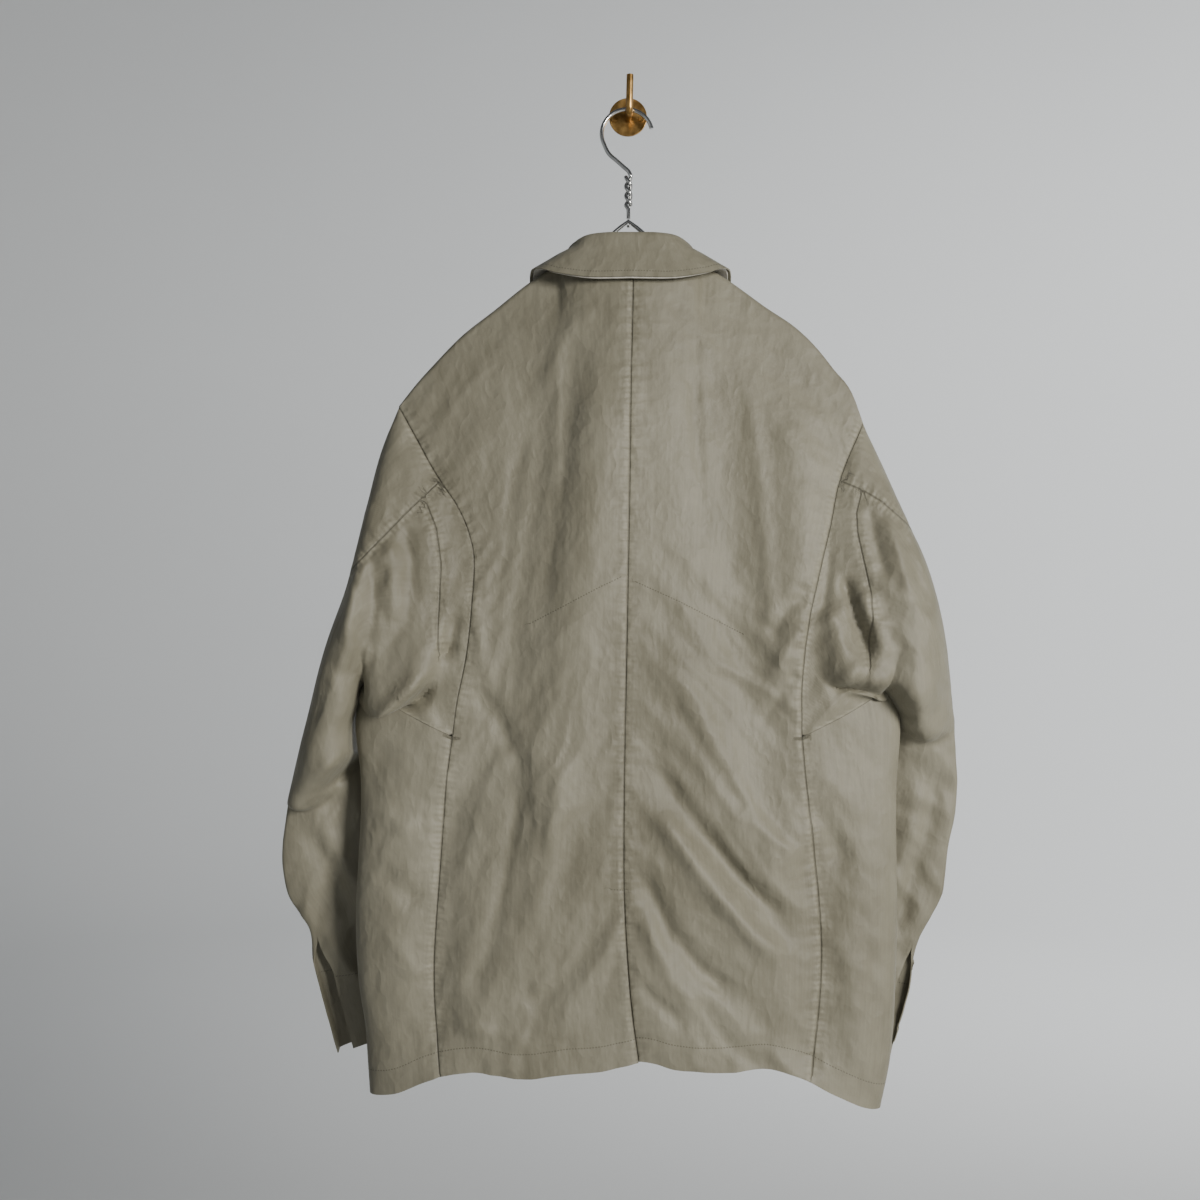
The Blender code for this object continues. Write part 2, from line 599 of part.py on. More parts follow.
def collar_turns(panels):
    """Places along the collar: the corners of the neckline and the middles between them."""
    turns = []
    for layer in ("back", "front"):
        corners = panels[layer + "_right"][0, :len(NECK_COLUMNS), 0]
        corners = np.delete(corners, -2) if layer == "back" else corners
        shares = np.arcsin(np.clip((corners - NECK_X) / NECK_HALF, 0, 1)) / math.pi
        turns += list(shares if layer == "back" else (1 - shares)[::-1])
    turns = sorted({round(t, 5) for t in turns if COLLAR_FIRST < t < COLLAR_END - 0.01})
    turns = [0.0] + turns + [COLLAR_END]
    middles = [(a + b) / 2 for a, b in zip(turns, turns[1:]) if b - a > COLLAR_STEP]
    half = sorted(turns + middles)
    return [-t for t in half[:0:-1]] + half


def collar_pieces(panels):
    """Point grids of the collar's inner face and of the under collar."""
    half_at = table_curve(COLLAR)
    grid = []
    peeps = []
    for turn in collar_turns(panels):
        sign = -1 if turn < 0 else 1
        fold_x, fold_y, fold_drop, edge_x, edge_y, edge_drop = half_at(abs(turn))
        fold = np.array([NECK_X + sign * fold_x, fold_y, -fold_drop])
        edge = np.array([NECK_X + sign * edge_x, edge_y, -edge_drop])
        layer = "back" if abs(turn) <= 0.5 else "front"
        base = neckline(panels, sign, layer, NECK_X + sign * NECK_HALF * math.sin(math.pi * abs(turn)))
        dip = NECK_BACK_DIP if layer == "back" else NECK_FRONT_DIP
        inward = np.array([(NECK_X - base[0]) / NECK_HALF ** 2, 0,
                           (-base[2] - NECK_SIDE_DROP) / dip ** 2])
        base += inward / np.linalg.norm(inward) * NECK_GAP
        away = np.array([sign * math.sin(math.pi * abs(turn)), -math.cos(math.pi * turn), 0])
        inside = fold - away * COLLAR_FOLD
        outside = fold + away * COLLAR_FOLD
        down = np.array([0, 0, -1.0])
        under_fold = inside + down * 2.5
        rows = [base, mix(base, under_fold, 0.5), under_fold, fold + np.array([0, 0, 0.8]),
                outside + down * 2.2]
        for f in (0.35, 0.7, 1.0):
            rows.append(mix(outside + down * 2.2, edge, f))
        grid.append(rows)
        peeps.append(UNDER_PEEP * math.cos(turn * math.pi / 2) ** 4)
    collar = np.transpose(np.array(grid), (1, 0, 2))
    along, across = np.gradient(collar, axis=1), np.gradient(collar, axis=0)
    below = np.cross(along, across)
    below /= np.linalg.norm(below, axis=-1, keepdims=True)
    under = (collar + below * UNDER_GAP)[-3:]
    down = under[-1] - under[-2]
    down /= np.linalg.norm(down, axis=-1, keepdims=True)
    under[-1] += down * np.array(peeps)[:, None]
    return collar, under


# ================================================================ walls from point grids
def grid_faces(points, mask, flip):
    """Corner numbers of a grid's quads, facing out, each starting at its shorter diagonal."""
    rows, columns = points.shape[:2]
    faces = []
    for i in range(rows - 1):
        for j in range(columns - 1):
            if mask is not None and not mask[i, j]:
                continue
            a = i * columns + j
            quad = [a, a + columns, a + columns + 1, a + 1]
            first = np.linalg.norm(points[i, j] - points[i + 1, j + 1])
            second = np.linalg.norm(points[i + 1, j] - points[i, j + 1])
            if first > second + DIAGONAL_TIE:
                quad = quad[1:] + quad[:1]
            if flip:
                quad = [quad[0], quad[3], quad[2], quad[1]]
            faces.append(quad)
    return faces


def weld_key(point):
    return tuple(np.round(point * 50).astype(int))


def face_normal(corners):
    return np.cross(corners[2] - corners[0], corners[3] - corners[1])


class Wardrobe:
    """Holds the cloth pieces, gives neighbours one normal at their seam and makes them walls."""

    def __init__(self):
        self.pieces = {}
        self.sums = {}

    def add(self, name, points, flip, mask=None, thick=CLOTH, material="olive cotton"):
        faces = grid_faces(points, mask, flip)
        flat = points.reshape(-1, 3)
        keys = [weld_key(p) for p in flat]
        for quad in faces:
            normal = face_normal(flat[quad])
            for key in {keys[c] for c in quad}:
                self.sums[key] = self.sums.get(key, 0) + normal
        thickness = np.broadcast_to(thick, points.shape[:2]).reshape(-1)
        self.pieces[name] = (flat, keys, faces, thickness, material)

    def wall(self, name):
        """Vertices and faces of one piece: outer face, inner face and the edges between them."""
        flat, keys, faces, thickness, _ = self.pieces[name]
        number = {}
        chosen = []
        index = []
        for i, key in enumerate(keys):
            if key not in number:
                number[key] = len(chosen)
                chosen.append(i)
            index.append(number[key])
        outer = flat[chosen].copy()
        thick = thickness[chosen]
        normals = np.array([self.sums.get(keys[i], np.zeros(3)) for i in chosen])
        lengths = np.linalg.norm(normals, axis=1, keepdims=True)
        normals = normals / np.where(lengths > 0, lengths, 1)
        polygons = []
        for quad in faces:
            corners = []
            for c in quad:
                if index[c] not in corners:
                    corners.append(index[c])
            if len(corners) > 2:
                polygons.append(corners)
        border = {}
        for corners in polygons:
            for a, b in zip(corners, corners[1:] + corners[:1]):
                border[(a, b)] = corners
        border = {edge: face for edge, face in border.items() if edge[::-1] not in border}
        pulls = {}
        for (a, b), corners in border.items():
            along = outer[b] - outer[a]
            along = along / np.linalg.norm(along)
            into = outer[corners].mean(axis=0) - outer[a]
            into = into - along * (into @ along)
            into = into / np.linalg.norm(into)
            pulls.setdefault(a, []).append(into)
            pulls.setdefault(b, []).append(into)
        moved = outer.copy()
        for vertex, ways in pulls.items():
            total = sum(ways)
            spread = 1 + (ways[0] @ ways[1] if len(ways) > 1 else 1)
            moved[vertex] += SEAM_HALF * total / max(spread, 0.12)
        inner = moved - normals * thick[:, None]
        used = sorted({c for corners in polygons for c in corners})
        place = {v: i for i, v in enumerate(used)}
        count = len(used)
        vertices = np.vstack([moved[used], inner[used]]) * MM
        result = []
        for corners in polygons:
            a, spots = place[corners[0]], [place[c] for c in corners[1:]]
            for b, c in zip(spots, spots[1:]):
                result.append([a, b, c])
                result.append([a + count, c + count, b + count])
        for a, b in border:
            edge = [place[b], place[a], place[a] + count, place[b] + count]
            # neighbours at a seam split this face along the same diagonal
            if keys[chosen[a]] < keys[chosen[b]]:
                edge = edge[1:] + edge[:1]
            result += [[edge[0], edge[1], edge[2]], [edge[0], edge[2], edge[3]]]
        return vertices, result


# ================================================================ Blender objects
def clear_scene():
    for thing in list(bpy.data.objects):
        bpy.data.objects.remove(thing, do_unlink=True)


def make_materials():
    made = {}
    for name, (colour, roughness, metallic) in COLOURS.items():
        material = bpy.data.materials.new(name)
        material.use_nodes = True
        shader = material.node_tree.nodes["Principled BSDF"]
        shader.inputs["Base Color"].default_value = (*colour, 1)
        shader.inputs["Roughness"].default_value = roughness
        shader.inputs["Metallic"].default_value = metallic
        made[name] = material
    return made


def add_object(name, data, material, collection, smooth_degrees=50):
    """Link one sub-part; meshes are shaded smooth except over their sharp edges."""
    thing = bpy.data.objects.new(name, data)
    collection.objects.link(thing)
    data.materials.append(material)
    if thing.type == "MESH":
        data.shade_smooth()
        data.set_sharp_from_angle(angle=math.radians(smooth_degrees))
    return thing


def add_cloth(wardrobe, collection, materials):
    for name in wardrobe.pieces:
        vertices, faces = wardrobe.wall(name)
        mesh = bpy.data.meshes.new(name)
        mesh.from_pydata(vertices.tolist(), [], faces)
        add_object(name, mesh, materials[wardrobe.pieces[name][4]], collection)


def add_wire(name, places, diameter, material, collection, closed=False):
    """A round wire along places in millimetres."""
    curve = bpy.data.curves.new(name, "CURVE")
    curve.dimensions = "3D"
    curve.bevel_depth = diameter / 2 * MM
    curve.bevel_resolution = 2
    curve.use_fill_caps = not closed
    spline = curve.splines.new("POLY")
    spline.points.add(len(places) - 1)
    for spot, place in zip(spline.points, places):
        spot.co = (*(np.array(place) * MM), 1)
    spline.use_cyclic_u = closed
    add_object(name, curve, material, collection)


def add_disc(name, centre, radius, thick, bevel, material, collection, segments=24, steps=1):
    """A disc whose axis is Y, its wall side at centre."""
    shape = bmesh.new()
    bmesh.ops.create_cone(shape, cap_ends=True, segments=segments, radius1=radius * MM,
                          radius2=radius * MM, depth=thick * MM)
    x, y, z = (value * MM for value in centre)
    turn = Matrix.Rotation(math.radians(90), 4, "X")
    shape.transform(Matrix.Translation((x, y - thick / 2 * MM, z)) @ turn)
    mesh = bpy.data.meshes.new(name)
    shape.to_mesh(mesh)
    shape.free()
    disc = add_object(name, mesh, material, collection)
    edge = disc.modifiers.new("worn edge", "BEVEL")
    edge.width = bevel * MM
    edge.segments = steps
    edge.limit_method = "ANGLE"
    edge.angle_limit = math.radians(60)


def hanger_y(drop):
    return HANGER_Y - HANGER_LEAN * drop


def arc(centre, radius, start, end, steps):
    """Places x, drop on a circle; angles in degrees, 0 at +X and 90 straight up."""
    return [(centre[0] + radius * math.cos(math.radians(a)),
             centre[1] - radius * math.sin(math.radians(a))) for a in np.linspace(start, end, steps)]


def in_hanger_plane(places):
    return [(x, hanger_y(drop), -drop) for x, drop in places]


def twist_strand(phase):
    """One strand of the twisted shank, turning about the vertical at x = 0."""
    places = []
    for f in np.linspace(0, 1, 22):
        drop = mix(TWIST_TOP, TWIST_BOTTOM, f)
        angle = phase + 2 * math.pi * TWIST_TURNS * f
        places.append((TWIST_RADIUS * math.cos(angle),
                       hanger_y(drop) + TWIST_RADIUS * math.sin(angle), -drop))
    return places


def add_hanger(collection, materials):
    wire = materials["bright wire"]
    hook_drop = PEG_DROP - PEG_WIRE / 2 - METAL_GAP - WIRE / 2 + HOOK_RADIUS
    hook = arc((HOOK_X, hook_drop), HOOK_RADIUS, HOOK_FROM, HOOK_TO, 22)
    neck = [(-19.5, 41.0), (-11.0, 49.0), (-5.0, 54.5), (0.6, 60.0)]
    strand = twist_strand(0.0)
    shank = [(0, hanger_y(drop), -drop) for drop in (TWIST_BOTTOM + 3.5, SHANK_END)]
    add_wire("hanger_hook", in_hanger_plane(hook + neck) + strand + shank, WIRE, wire, collection)
    add_wire("hanger_twist", twist_strand(math.pi), WIRE - 0.1, wire, collection)
    places = []
    for side in ("right", "left"):
        sign = SIGN[side]
        tip_drop = float(shoulder_at[side](np.array(ARM_X))) + ARM_CLEAR
        bend_drop = APEX_DROP + ARM_STEEP * ARM_BEND_X
        slope = (tip_drop - bend_drop) / (ARM_X - ARM_BEND_X)
        arm = [(x, APEX_DROP + ARM_STEEP * x) for x in (8, 40, ARM_BEND_X - 8)]
        arm += [(x, bend_drop + slope * (x - ARM_BEND_X)) for x in (ARM_BEND_X + 8, 130)]
        lean = math.atan(slope)
        centre = (ARM_X - TIP_ROUND * math.sin(lean), tip_drop + TIP_ROUND * math.cos(lean))
        turn = arc(centre, TIP_ROUND, 90 - math.degrees(lean), -90, 9)
        places.append([(sign * x, drop) for x, drop in arm + turn])
    bar = [(x, mix(places[0][-1][1], places[1][-1][1], (ARM_X - x) / (2 * ARM_X)))
           for x in (120, 60, 0, -60, -120)]
    outline = [(0, APEX_DROP + APEX_BLUNT)] + places[0] + bar + places[1][::-1]
    add_wire("hanger_frame", in_hanger_plane(outline), WIRE, wire, collection, closed=True)
    stud = bmesh.new()
    bmesh.ops.create_uvsphere(stud, u_segments=12, v_segments=8, radius=STUD_RADIUS * MM)
    drop = APEX_DROP + APEX_BLUNT + STUD_CLEAR + STUD_RADIUS
    stud.transform(Matrix.Translation((0, hanger_y(drop) * MM, -drop * MM)))
    mesh = bpy.data.meshes.new("hanger_stud")
    stud.to_mesh(mesh)
    stud.free()
    add_object("hanger_stud", mesh, wire, collection)


def add_wall_hook(collection, materials):
    brass = materials["old brass"]
    add_disc("wall_rosette", (0, 0, 0), ROSETTE_RADIUS, ROSETTE_THICK, ROSETTE_BEVEL, brass,
             collection, segments=32, steps=2)
    bend = [(PEG_BEND * math.sin(a), PEG_BEND * (1 - math.cos(a)))
            for a in np.linspace(0, math.pi / 2, 7)]
    start = ROSETTE_THICK + METAL_GAP
    straight = PEG_REACH - PEG_BEND
    places = [(0, -start, -PEG_DROP), (0.2, -(start + straight) / 2, -PEG_DROP)]
    places += [(1.0, -(straight + out), -PEG_DROP + up) for out, up in bend]
    places.append((1.6, -PEG_REACH, PEG_TOP))
    add_wire("wall_peg", places, PEG_WIRE, brass, collection)
    for name, x in (("screw_left", -SCREW_X), ("screw_right", SCREW_X)):
        add_disc(name, (x, -ROSETTE_THICK - METAL_GAP, -PEG_DROP), SCREW_RADIUS, SCREW_THICK, 0.4,
                 brass, collection, segments=12)


def add_buttons(collection, materials):
    for number, drop in enumerate(BUTTON_DROPS, 1):
        spots = NECK_X + BUTTON_RADIUS * np.array([-1, -0.5, 0, 0.5, 1])
        y = float(layer_y(spots, np.full(5, float(drop)), "front").max()) + BUTTON_GAP
        add_disc("button_%d" % number, (NECK_X, y + BUTTON_THICK, -drop), BUTTON_RADIUS,
                 BUTTON_THICK, 0.9, materials["horn button"], collection, segments=18)


def hem_thickness(panel):
    """The last two rows of a body panel are the turned hem."""
    thick = np.full(panel.shape[:2], CLOTH)
    thick[-2:] = HEM_CLOTH
    return thick


def main():
    clear_scene()
    collection = bpy.data.collections.new("coverall_jacket")
    bpy.context.scene.collection.children.link(collection)
    materials = make_materials()
    wardrobe = Wardrobe()
    panels = {}
    for side in ("left", "right"):
        mirrored = side == "left"
        for layer in ("back", "front"):
            points, mask = body_panel(side, layer)
            lap_columns = 2 if mask is not None else 0
            panels[layer + "_" + side] = points[:, lap_columns:]
            wardrobe.add(layer + "_" + side, points, mirrored == (layer == "back"), mask,
                         hem_thickness(points))
        panels["side_" + side] = side_panel(side)
        wardrobe.add("side_" + side, panels["side_" + side], mirrored, None,
                     hem_thickness(panels["side_" + side]))
        for name, points in sleeve_pieces(panels, side).items():
            thick = HEM_CLOTH if name.startswith("cuff") else CLOTH
            wardrobe.add(name, points, not mirrored, None, thick)
    collar, under = collar_pieces(panels)
    wardrobe.add("collar", collar, True, None, COLLAR_CLOTH)
    wardrobe.add("under_collar", under, False, None, CLOTH, "pale cotton")
    add_cloth(wardrobe, collection, materials)
    add_buttons(collection, materials)
    add_hanger(collection, materials)
    add_wall_hook(collection, materials)


main()
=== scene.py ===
"""A coverall jacket on a wire hanger, dressed over its solid model, as a lesson in cells."""

# %% [markdown]
# ## The frame
# 
# The solid model of the jacket gives every place and size. Its cloth pieces are coarse shells, so each
# one is replaced here by a fine cloth surface that is worked out from the same tables.
# The hook is mounted on the plane y = 0, +Z is up, and the jacket's back faces -Y.

# %% load the frame
import math

import bpy
import json
import numpy as np
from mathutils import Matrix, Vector, noise

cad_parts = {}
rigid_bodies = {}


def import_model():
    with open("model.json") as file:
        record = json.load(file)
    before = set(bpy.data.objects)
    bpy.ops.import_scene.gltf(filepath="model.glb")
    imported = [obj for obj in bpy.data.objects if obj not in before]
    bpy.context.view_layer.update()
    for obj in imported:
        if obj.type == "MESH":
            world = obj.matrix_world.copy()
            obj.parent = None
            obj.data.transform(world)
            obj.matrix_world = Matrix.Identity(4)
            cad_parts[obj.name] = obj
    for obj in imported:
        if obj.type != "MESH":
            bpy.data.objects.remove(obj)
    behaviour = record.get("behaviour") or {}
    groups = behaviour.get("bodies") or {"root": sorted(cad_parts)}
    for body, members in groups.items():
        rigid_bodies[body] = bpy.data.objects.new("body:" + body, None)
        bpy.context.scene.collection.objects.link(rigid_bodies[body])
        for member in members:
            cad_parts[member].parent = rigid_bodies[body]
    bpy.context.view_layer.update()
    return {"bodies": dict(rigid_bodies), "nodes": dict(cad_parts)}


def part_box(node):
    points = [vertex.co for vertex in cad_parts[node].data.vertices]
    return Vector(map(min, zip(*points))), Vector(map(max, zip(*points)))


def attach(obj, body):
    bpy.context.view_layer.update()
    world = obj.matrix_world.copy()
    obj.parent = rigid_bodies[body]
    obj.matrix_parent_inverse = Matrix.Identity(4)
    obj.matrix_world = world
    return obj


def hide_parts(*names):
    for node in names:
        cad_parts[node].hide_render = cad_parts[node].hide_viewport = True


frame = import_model()
BODY = sorted(frame["bodies"])[0]
MM = 0.001
print("nodes:", len(frame["nodes"]), "body:", BODY)

# %% [markdown]
# ## Curves and folds
# 
# Short tables give the jacket's lines. A smooth curve is laid through each table, and soft ridges and
# troughs are added along lines of places, which is quicker to steer than a simulation.

# %% curves through tables
def table_curve(rows):
    """Smooth curve through a table: its first column is the place along it, the rest is returned."""
    data = np.array(rows, float)
    keys, values = data[:, 0], data[:, 1:]
    slopes = np.gradient(values, keys, axis=0)

    def at(key):
        key = np.clip(np.asarray(key, float), keys[0], keys[-1])
        index = np.clip(np.searchsorted(keys, key, side="right") - 1, 0, len(keys) - 2)
        span = keys[index + 1] - keys[index]
        f = ((key - keys[index]) / span)[..., None]
        span = span[..., None]
        near, far = values[index], values[index + 1]
        start, end = slopes[index] * span, slopes[index + 1] * span
        bow = f * (1 - f)
        value = near + (far - near) * f * f * (3 - 2 * f)
        value = value + bow * (1 - f) * start - bow * f * end
        return value[..., 0] if value.shape[-1] == 1 else value

    return at


def ramp(value, low, high):
    """0 below low, 1 above high, smooth between."""
    f = np.clip((np.asarray(value, float) - low) / (high - low), 0, 1)
    return f * f * (3 - 2 * f)


def mix(a, b, f):
    return a + (b - a) * f


def fold_height(folds, x, drop):
    """Sum of soft ridges and troughs at places of the cloth."""
    total = np.zeros(np.broadcast(x, drop).shape)
    for _, height, half_width, places in folds:
        places = np.array(places, float)
        lengths = np.r_[0, np.cumsum(np.hypot(*np.diff(places, axis=0).T))]
        best = np.full(total.shape, 1e9)
        along = np.zeros(total.shape)
        for i in range(len(places) - 1):
            a, step = places[i], places[i + 1] - places[i]
            f = np.clip(((x - a[0]) * step[0] + (drop - a[1]) * step[1]) / (step @ step), 0, 1)
            away = np.hypot(x - a[0] - f * step[0], drop - a[1] - f * step[1])
            closer = away < best
            along = np.where(closer, mix(lengths[i], lengths[i + 1], f), along)
            best = np.minimum(best, away)
        share = along / lengths[-1]
        fade = ramp(share, 0.0, 0.18) * ramp(1 - share, 0.0, 0.18)
        total += height * fade * np.exp(-((best / half_width) ** 2))
    return total


print("a ramp at its middle:", float(ramp(0.5, 0, 1)))

# %% [markdown]
# ## The jacket's lines
# 
# x and drop are millimetres: drop is the distance below the wall hook's centre.
# The shoulders, the armholes and the seams are the ones that the solid model uses.

# %% neck, shoulders and hanging plane
NECK_X = 2.0           # centre of the neckline
NECK_HALF = 68.5
NECK_SIDE_DROP = 151.5
NECK_BACK_DIP = 10.5   # the neckline at the back is this far below its sides
NECK_FRONT_DIP = 88.5
NECK_BACK_DEPTH = 30.0
NECK_FRONT_DEPTH = 12.5
RIDGE_RADIUS = 7.0     # cloth folded over the hanger's arm
BACK_SLOPE = 0.22      # how fast the layers part below the shoulder
FRONT_SLOPE = 0.07
NECK_SPREAD = 72.0     # below the neckline its form widens to a soft swell
HANGER_Y = -14.0       # the hanger's plane leans: y = HANGER_Y - HANGER_LEAN * drop
HANGER_LEAN = 0.08
print("neckline width:", 2 * NECK_HALF)

# %% shoulder line, armhole and seams
# Shoulder line, from the neck to the sleeve seam: x, drop
SHOULDER = {
    "right": [(70.5, 151.5), (98, 169), (134, 195.5), (167, 219), (182, 234), (200, 257),
              (220, 286), (228, 310)],
    "left": [(66.5, 151.5), (99, 172.5), (131, 198.5), (166, 227), (190, 252.5), (208, 273),
             (224, 294)],
}
# Armhole seam from the shoulder tip to its low point: drop, distance from x = 0
ARMHOLE = {
    "right": [(310, 228), (348, 209.6), (368, 201.5), (411, 191), (461, 178), (500, 168.5),
              (539, 163), (572, 161), (611, 161)],
    "left": [(294, 224), (333, 202), (369, 181), (390, 166), (411, 155.5), (437, 148),
             (470, 148), (510, 151), (541, 155), (581, 163), (611, 167)],
}
HEM_REACH = 250.0      # the hem's turn from back to front is this far from x = 0
LOW_DROP = 611.0       # level of the armhole's low point, where the side seams start
SIDE_TOP_DROP = 562.0  # the side panel rises to here under the arm

# Side-back seam, and the side-front seam in front of it: drop, distance from x = 0
SIDE_SEAM = {
    "right": [(611, 161), (646, 163.5), (698, 170), (764, 177), (805, 179.5), (860, 177.5),
              (930, 169)],
    "left": [(611, 167), (650, 172), (695, 176), (751, 179.5), (847, 184), (895, 180.5),
             (925, 177.5)],
}
# Centre-back seam: drop, x
CENTRE_SEAM = [(162, 4), (285, 1), (353, 0), (483, -2.5), (558, -4), (671, -6), (752, -6),
               (799, -4), (867, 1.5), (914, 8)]
# Body's edges seen from behind (above the armhole they are the line that the sleeve covers):
# drop, left x, right x
BODY_EDGE = [(150, -335, 325), (300, -322, 312), (420, -302, 295), (500, -274, 270),
             (562, -247, 241), (600, -249, 246), (656, -254, 253), (718, -258, 255),
             (791, -261, 255.5), (850, -258, 254), (891, -252, 252), (921, -250, 249),
             (966, -247, 240)]
# Depth of the body's hollow: drop, y of its edges, y of the back, y of the front
BODY_DEPTH = [(150, -40, -80, -20), (300, -46, -88, -16), (450, -54, -98, -13),
              (613, -60, -103, -12), (760, -62, -108, -12), (960, -60, -106, -12)]
BACK_ROUNDNESS = 2.6   # superellipse exponents of the two layers
FRONT_ROUNDNESS = 2.0

# Hem line: x, drop
HEM_BACK = [(-250, 952), (-222, 946), (-192, 932), (-151, 922), (-96, 927), (-62, 922.5),
            (-29, 920), (-1, 914), (8, 912), (43, 918), (86, 921), (132, 919.5),
            (152, 925), (170, 932), (197, 946), (236, 963), (250, 966)]
HEM_FRONT = [(-250, 952), (-200, 940), (-120, 929), (0, 926), (120, 929), (200, 946), (250, 966)]

SIGN = {"left": -1.0, "right": 1.0}
shoulder_at = {side: table_curve(rows) for side, rows in SHOULDER.items()}
armhole_at = {side: table_curve(rows) for side, rows in ARMHOLE.items()}
side_seam_at = {side: table_curve(rows) for side, rows in SIDE_SEAM.items()}
centre_seam_at = table_curve(CENTRE_SEAM)
body_edge_at = table_curve(BODY_EDGE)
body_depth_at = table_curve(BODY_DEPTH)
hem_at = {"back": table_curve(HEM_BACK), "front": table_curve(HEM_FRONT)}
print("hem width at the back:", HEM_BACK[-1][0] - HEM_BACK[0][0])

# %% [markdown]
# ## Folds
# 
# Cotton that hangs from a wire falls in a few long soft folds. The large ones are also in the solid
# model; the small ones are only here. Height is above 0 for a ridge and below 0 for a trough.

# %% large folds of the body
# Each fold is a soft ridge (height above 0) or trough (below 0) along a line of places x, drop.
BACK_FOLDS = [
    # name, height, half width, places
    ("trough beside the left shoulder blade", -7, 33,
     [(-69, 200), (-77, 277), (-92, 342), (-103, 408), (-114, 483), (-127, 557), (-142, 632),
      (-157, 707), (-170, 775)]),
    ("ridge down the left half", 8, 30,
     [(-19, 230), (-28, 314), (-35, 389), (-47, 483), (-60, 576), (-73, 670), (-89, 744)]),
    ("trough in the right half", -7, 28,
     [(77, 202), (82, 296), (92, 389), (101, 483), (110, 576), (131, 651), (154, 716)]),
    ("ridge by the right armhole", 6, 22,
     [(148, 277), (162, 352), (163, 427), (157, 501), (152, 576)]),
    ("upper slanting ridge", 6, 17,
     [(23, 520), (56, 576), (80, 632), (108, 688), (159, 754)]),
    ("upper slanting trough", -6, 14,
     [(9, 595), (47, 670), (84, 726), (122, 772), (168, 819)]),
    ("lower slanting ridge", 5, 14,
     [(19, 670), (66, 735), (112, 791), (150, 830)]),
    ("lower slanting trough", -4.5, 12,
     [(6, 735), (39, 796), (66, 829), (103, 862)]),
    ("trough beside the vent", -5, 14,
     [(-35, 773), (-64, 825), (-102, 862)]),
    ("hollow at the left side seam", -8, 24, [(-172, 640), (-179, 751), (-184, 847), (-178, 925)]),
    ("hollow at the right side seam", -9, 26, [(176, 690), (181, 790), (181, 880), (176, 930)]),
]
FRONT_FOLDS = [
    ("left front hang", 5, 34, [(-60, 270), (-75, 450), (-95, 700), (-110, 930)]),
    ("right front hang", 5, 34, [(70, 270), (85, 450), (95, 700), (115, 930)]),
    ("left front trough", -5, 30, [(-120, 300), (-135, 500), (-150, 800)]),
    ("right front trough", -5, 30, [(125, 300), (140, 500), (155, 800)]),
]
print("large folds:", len(BACK_FOLDS) + len(FRONT_FOLDS))

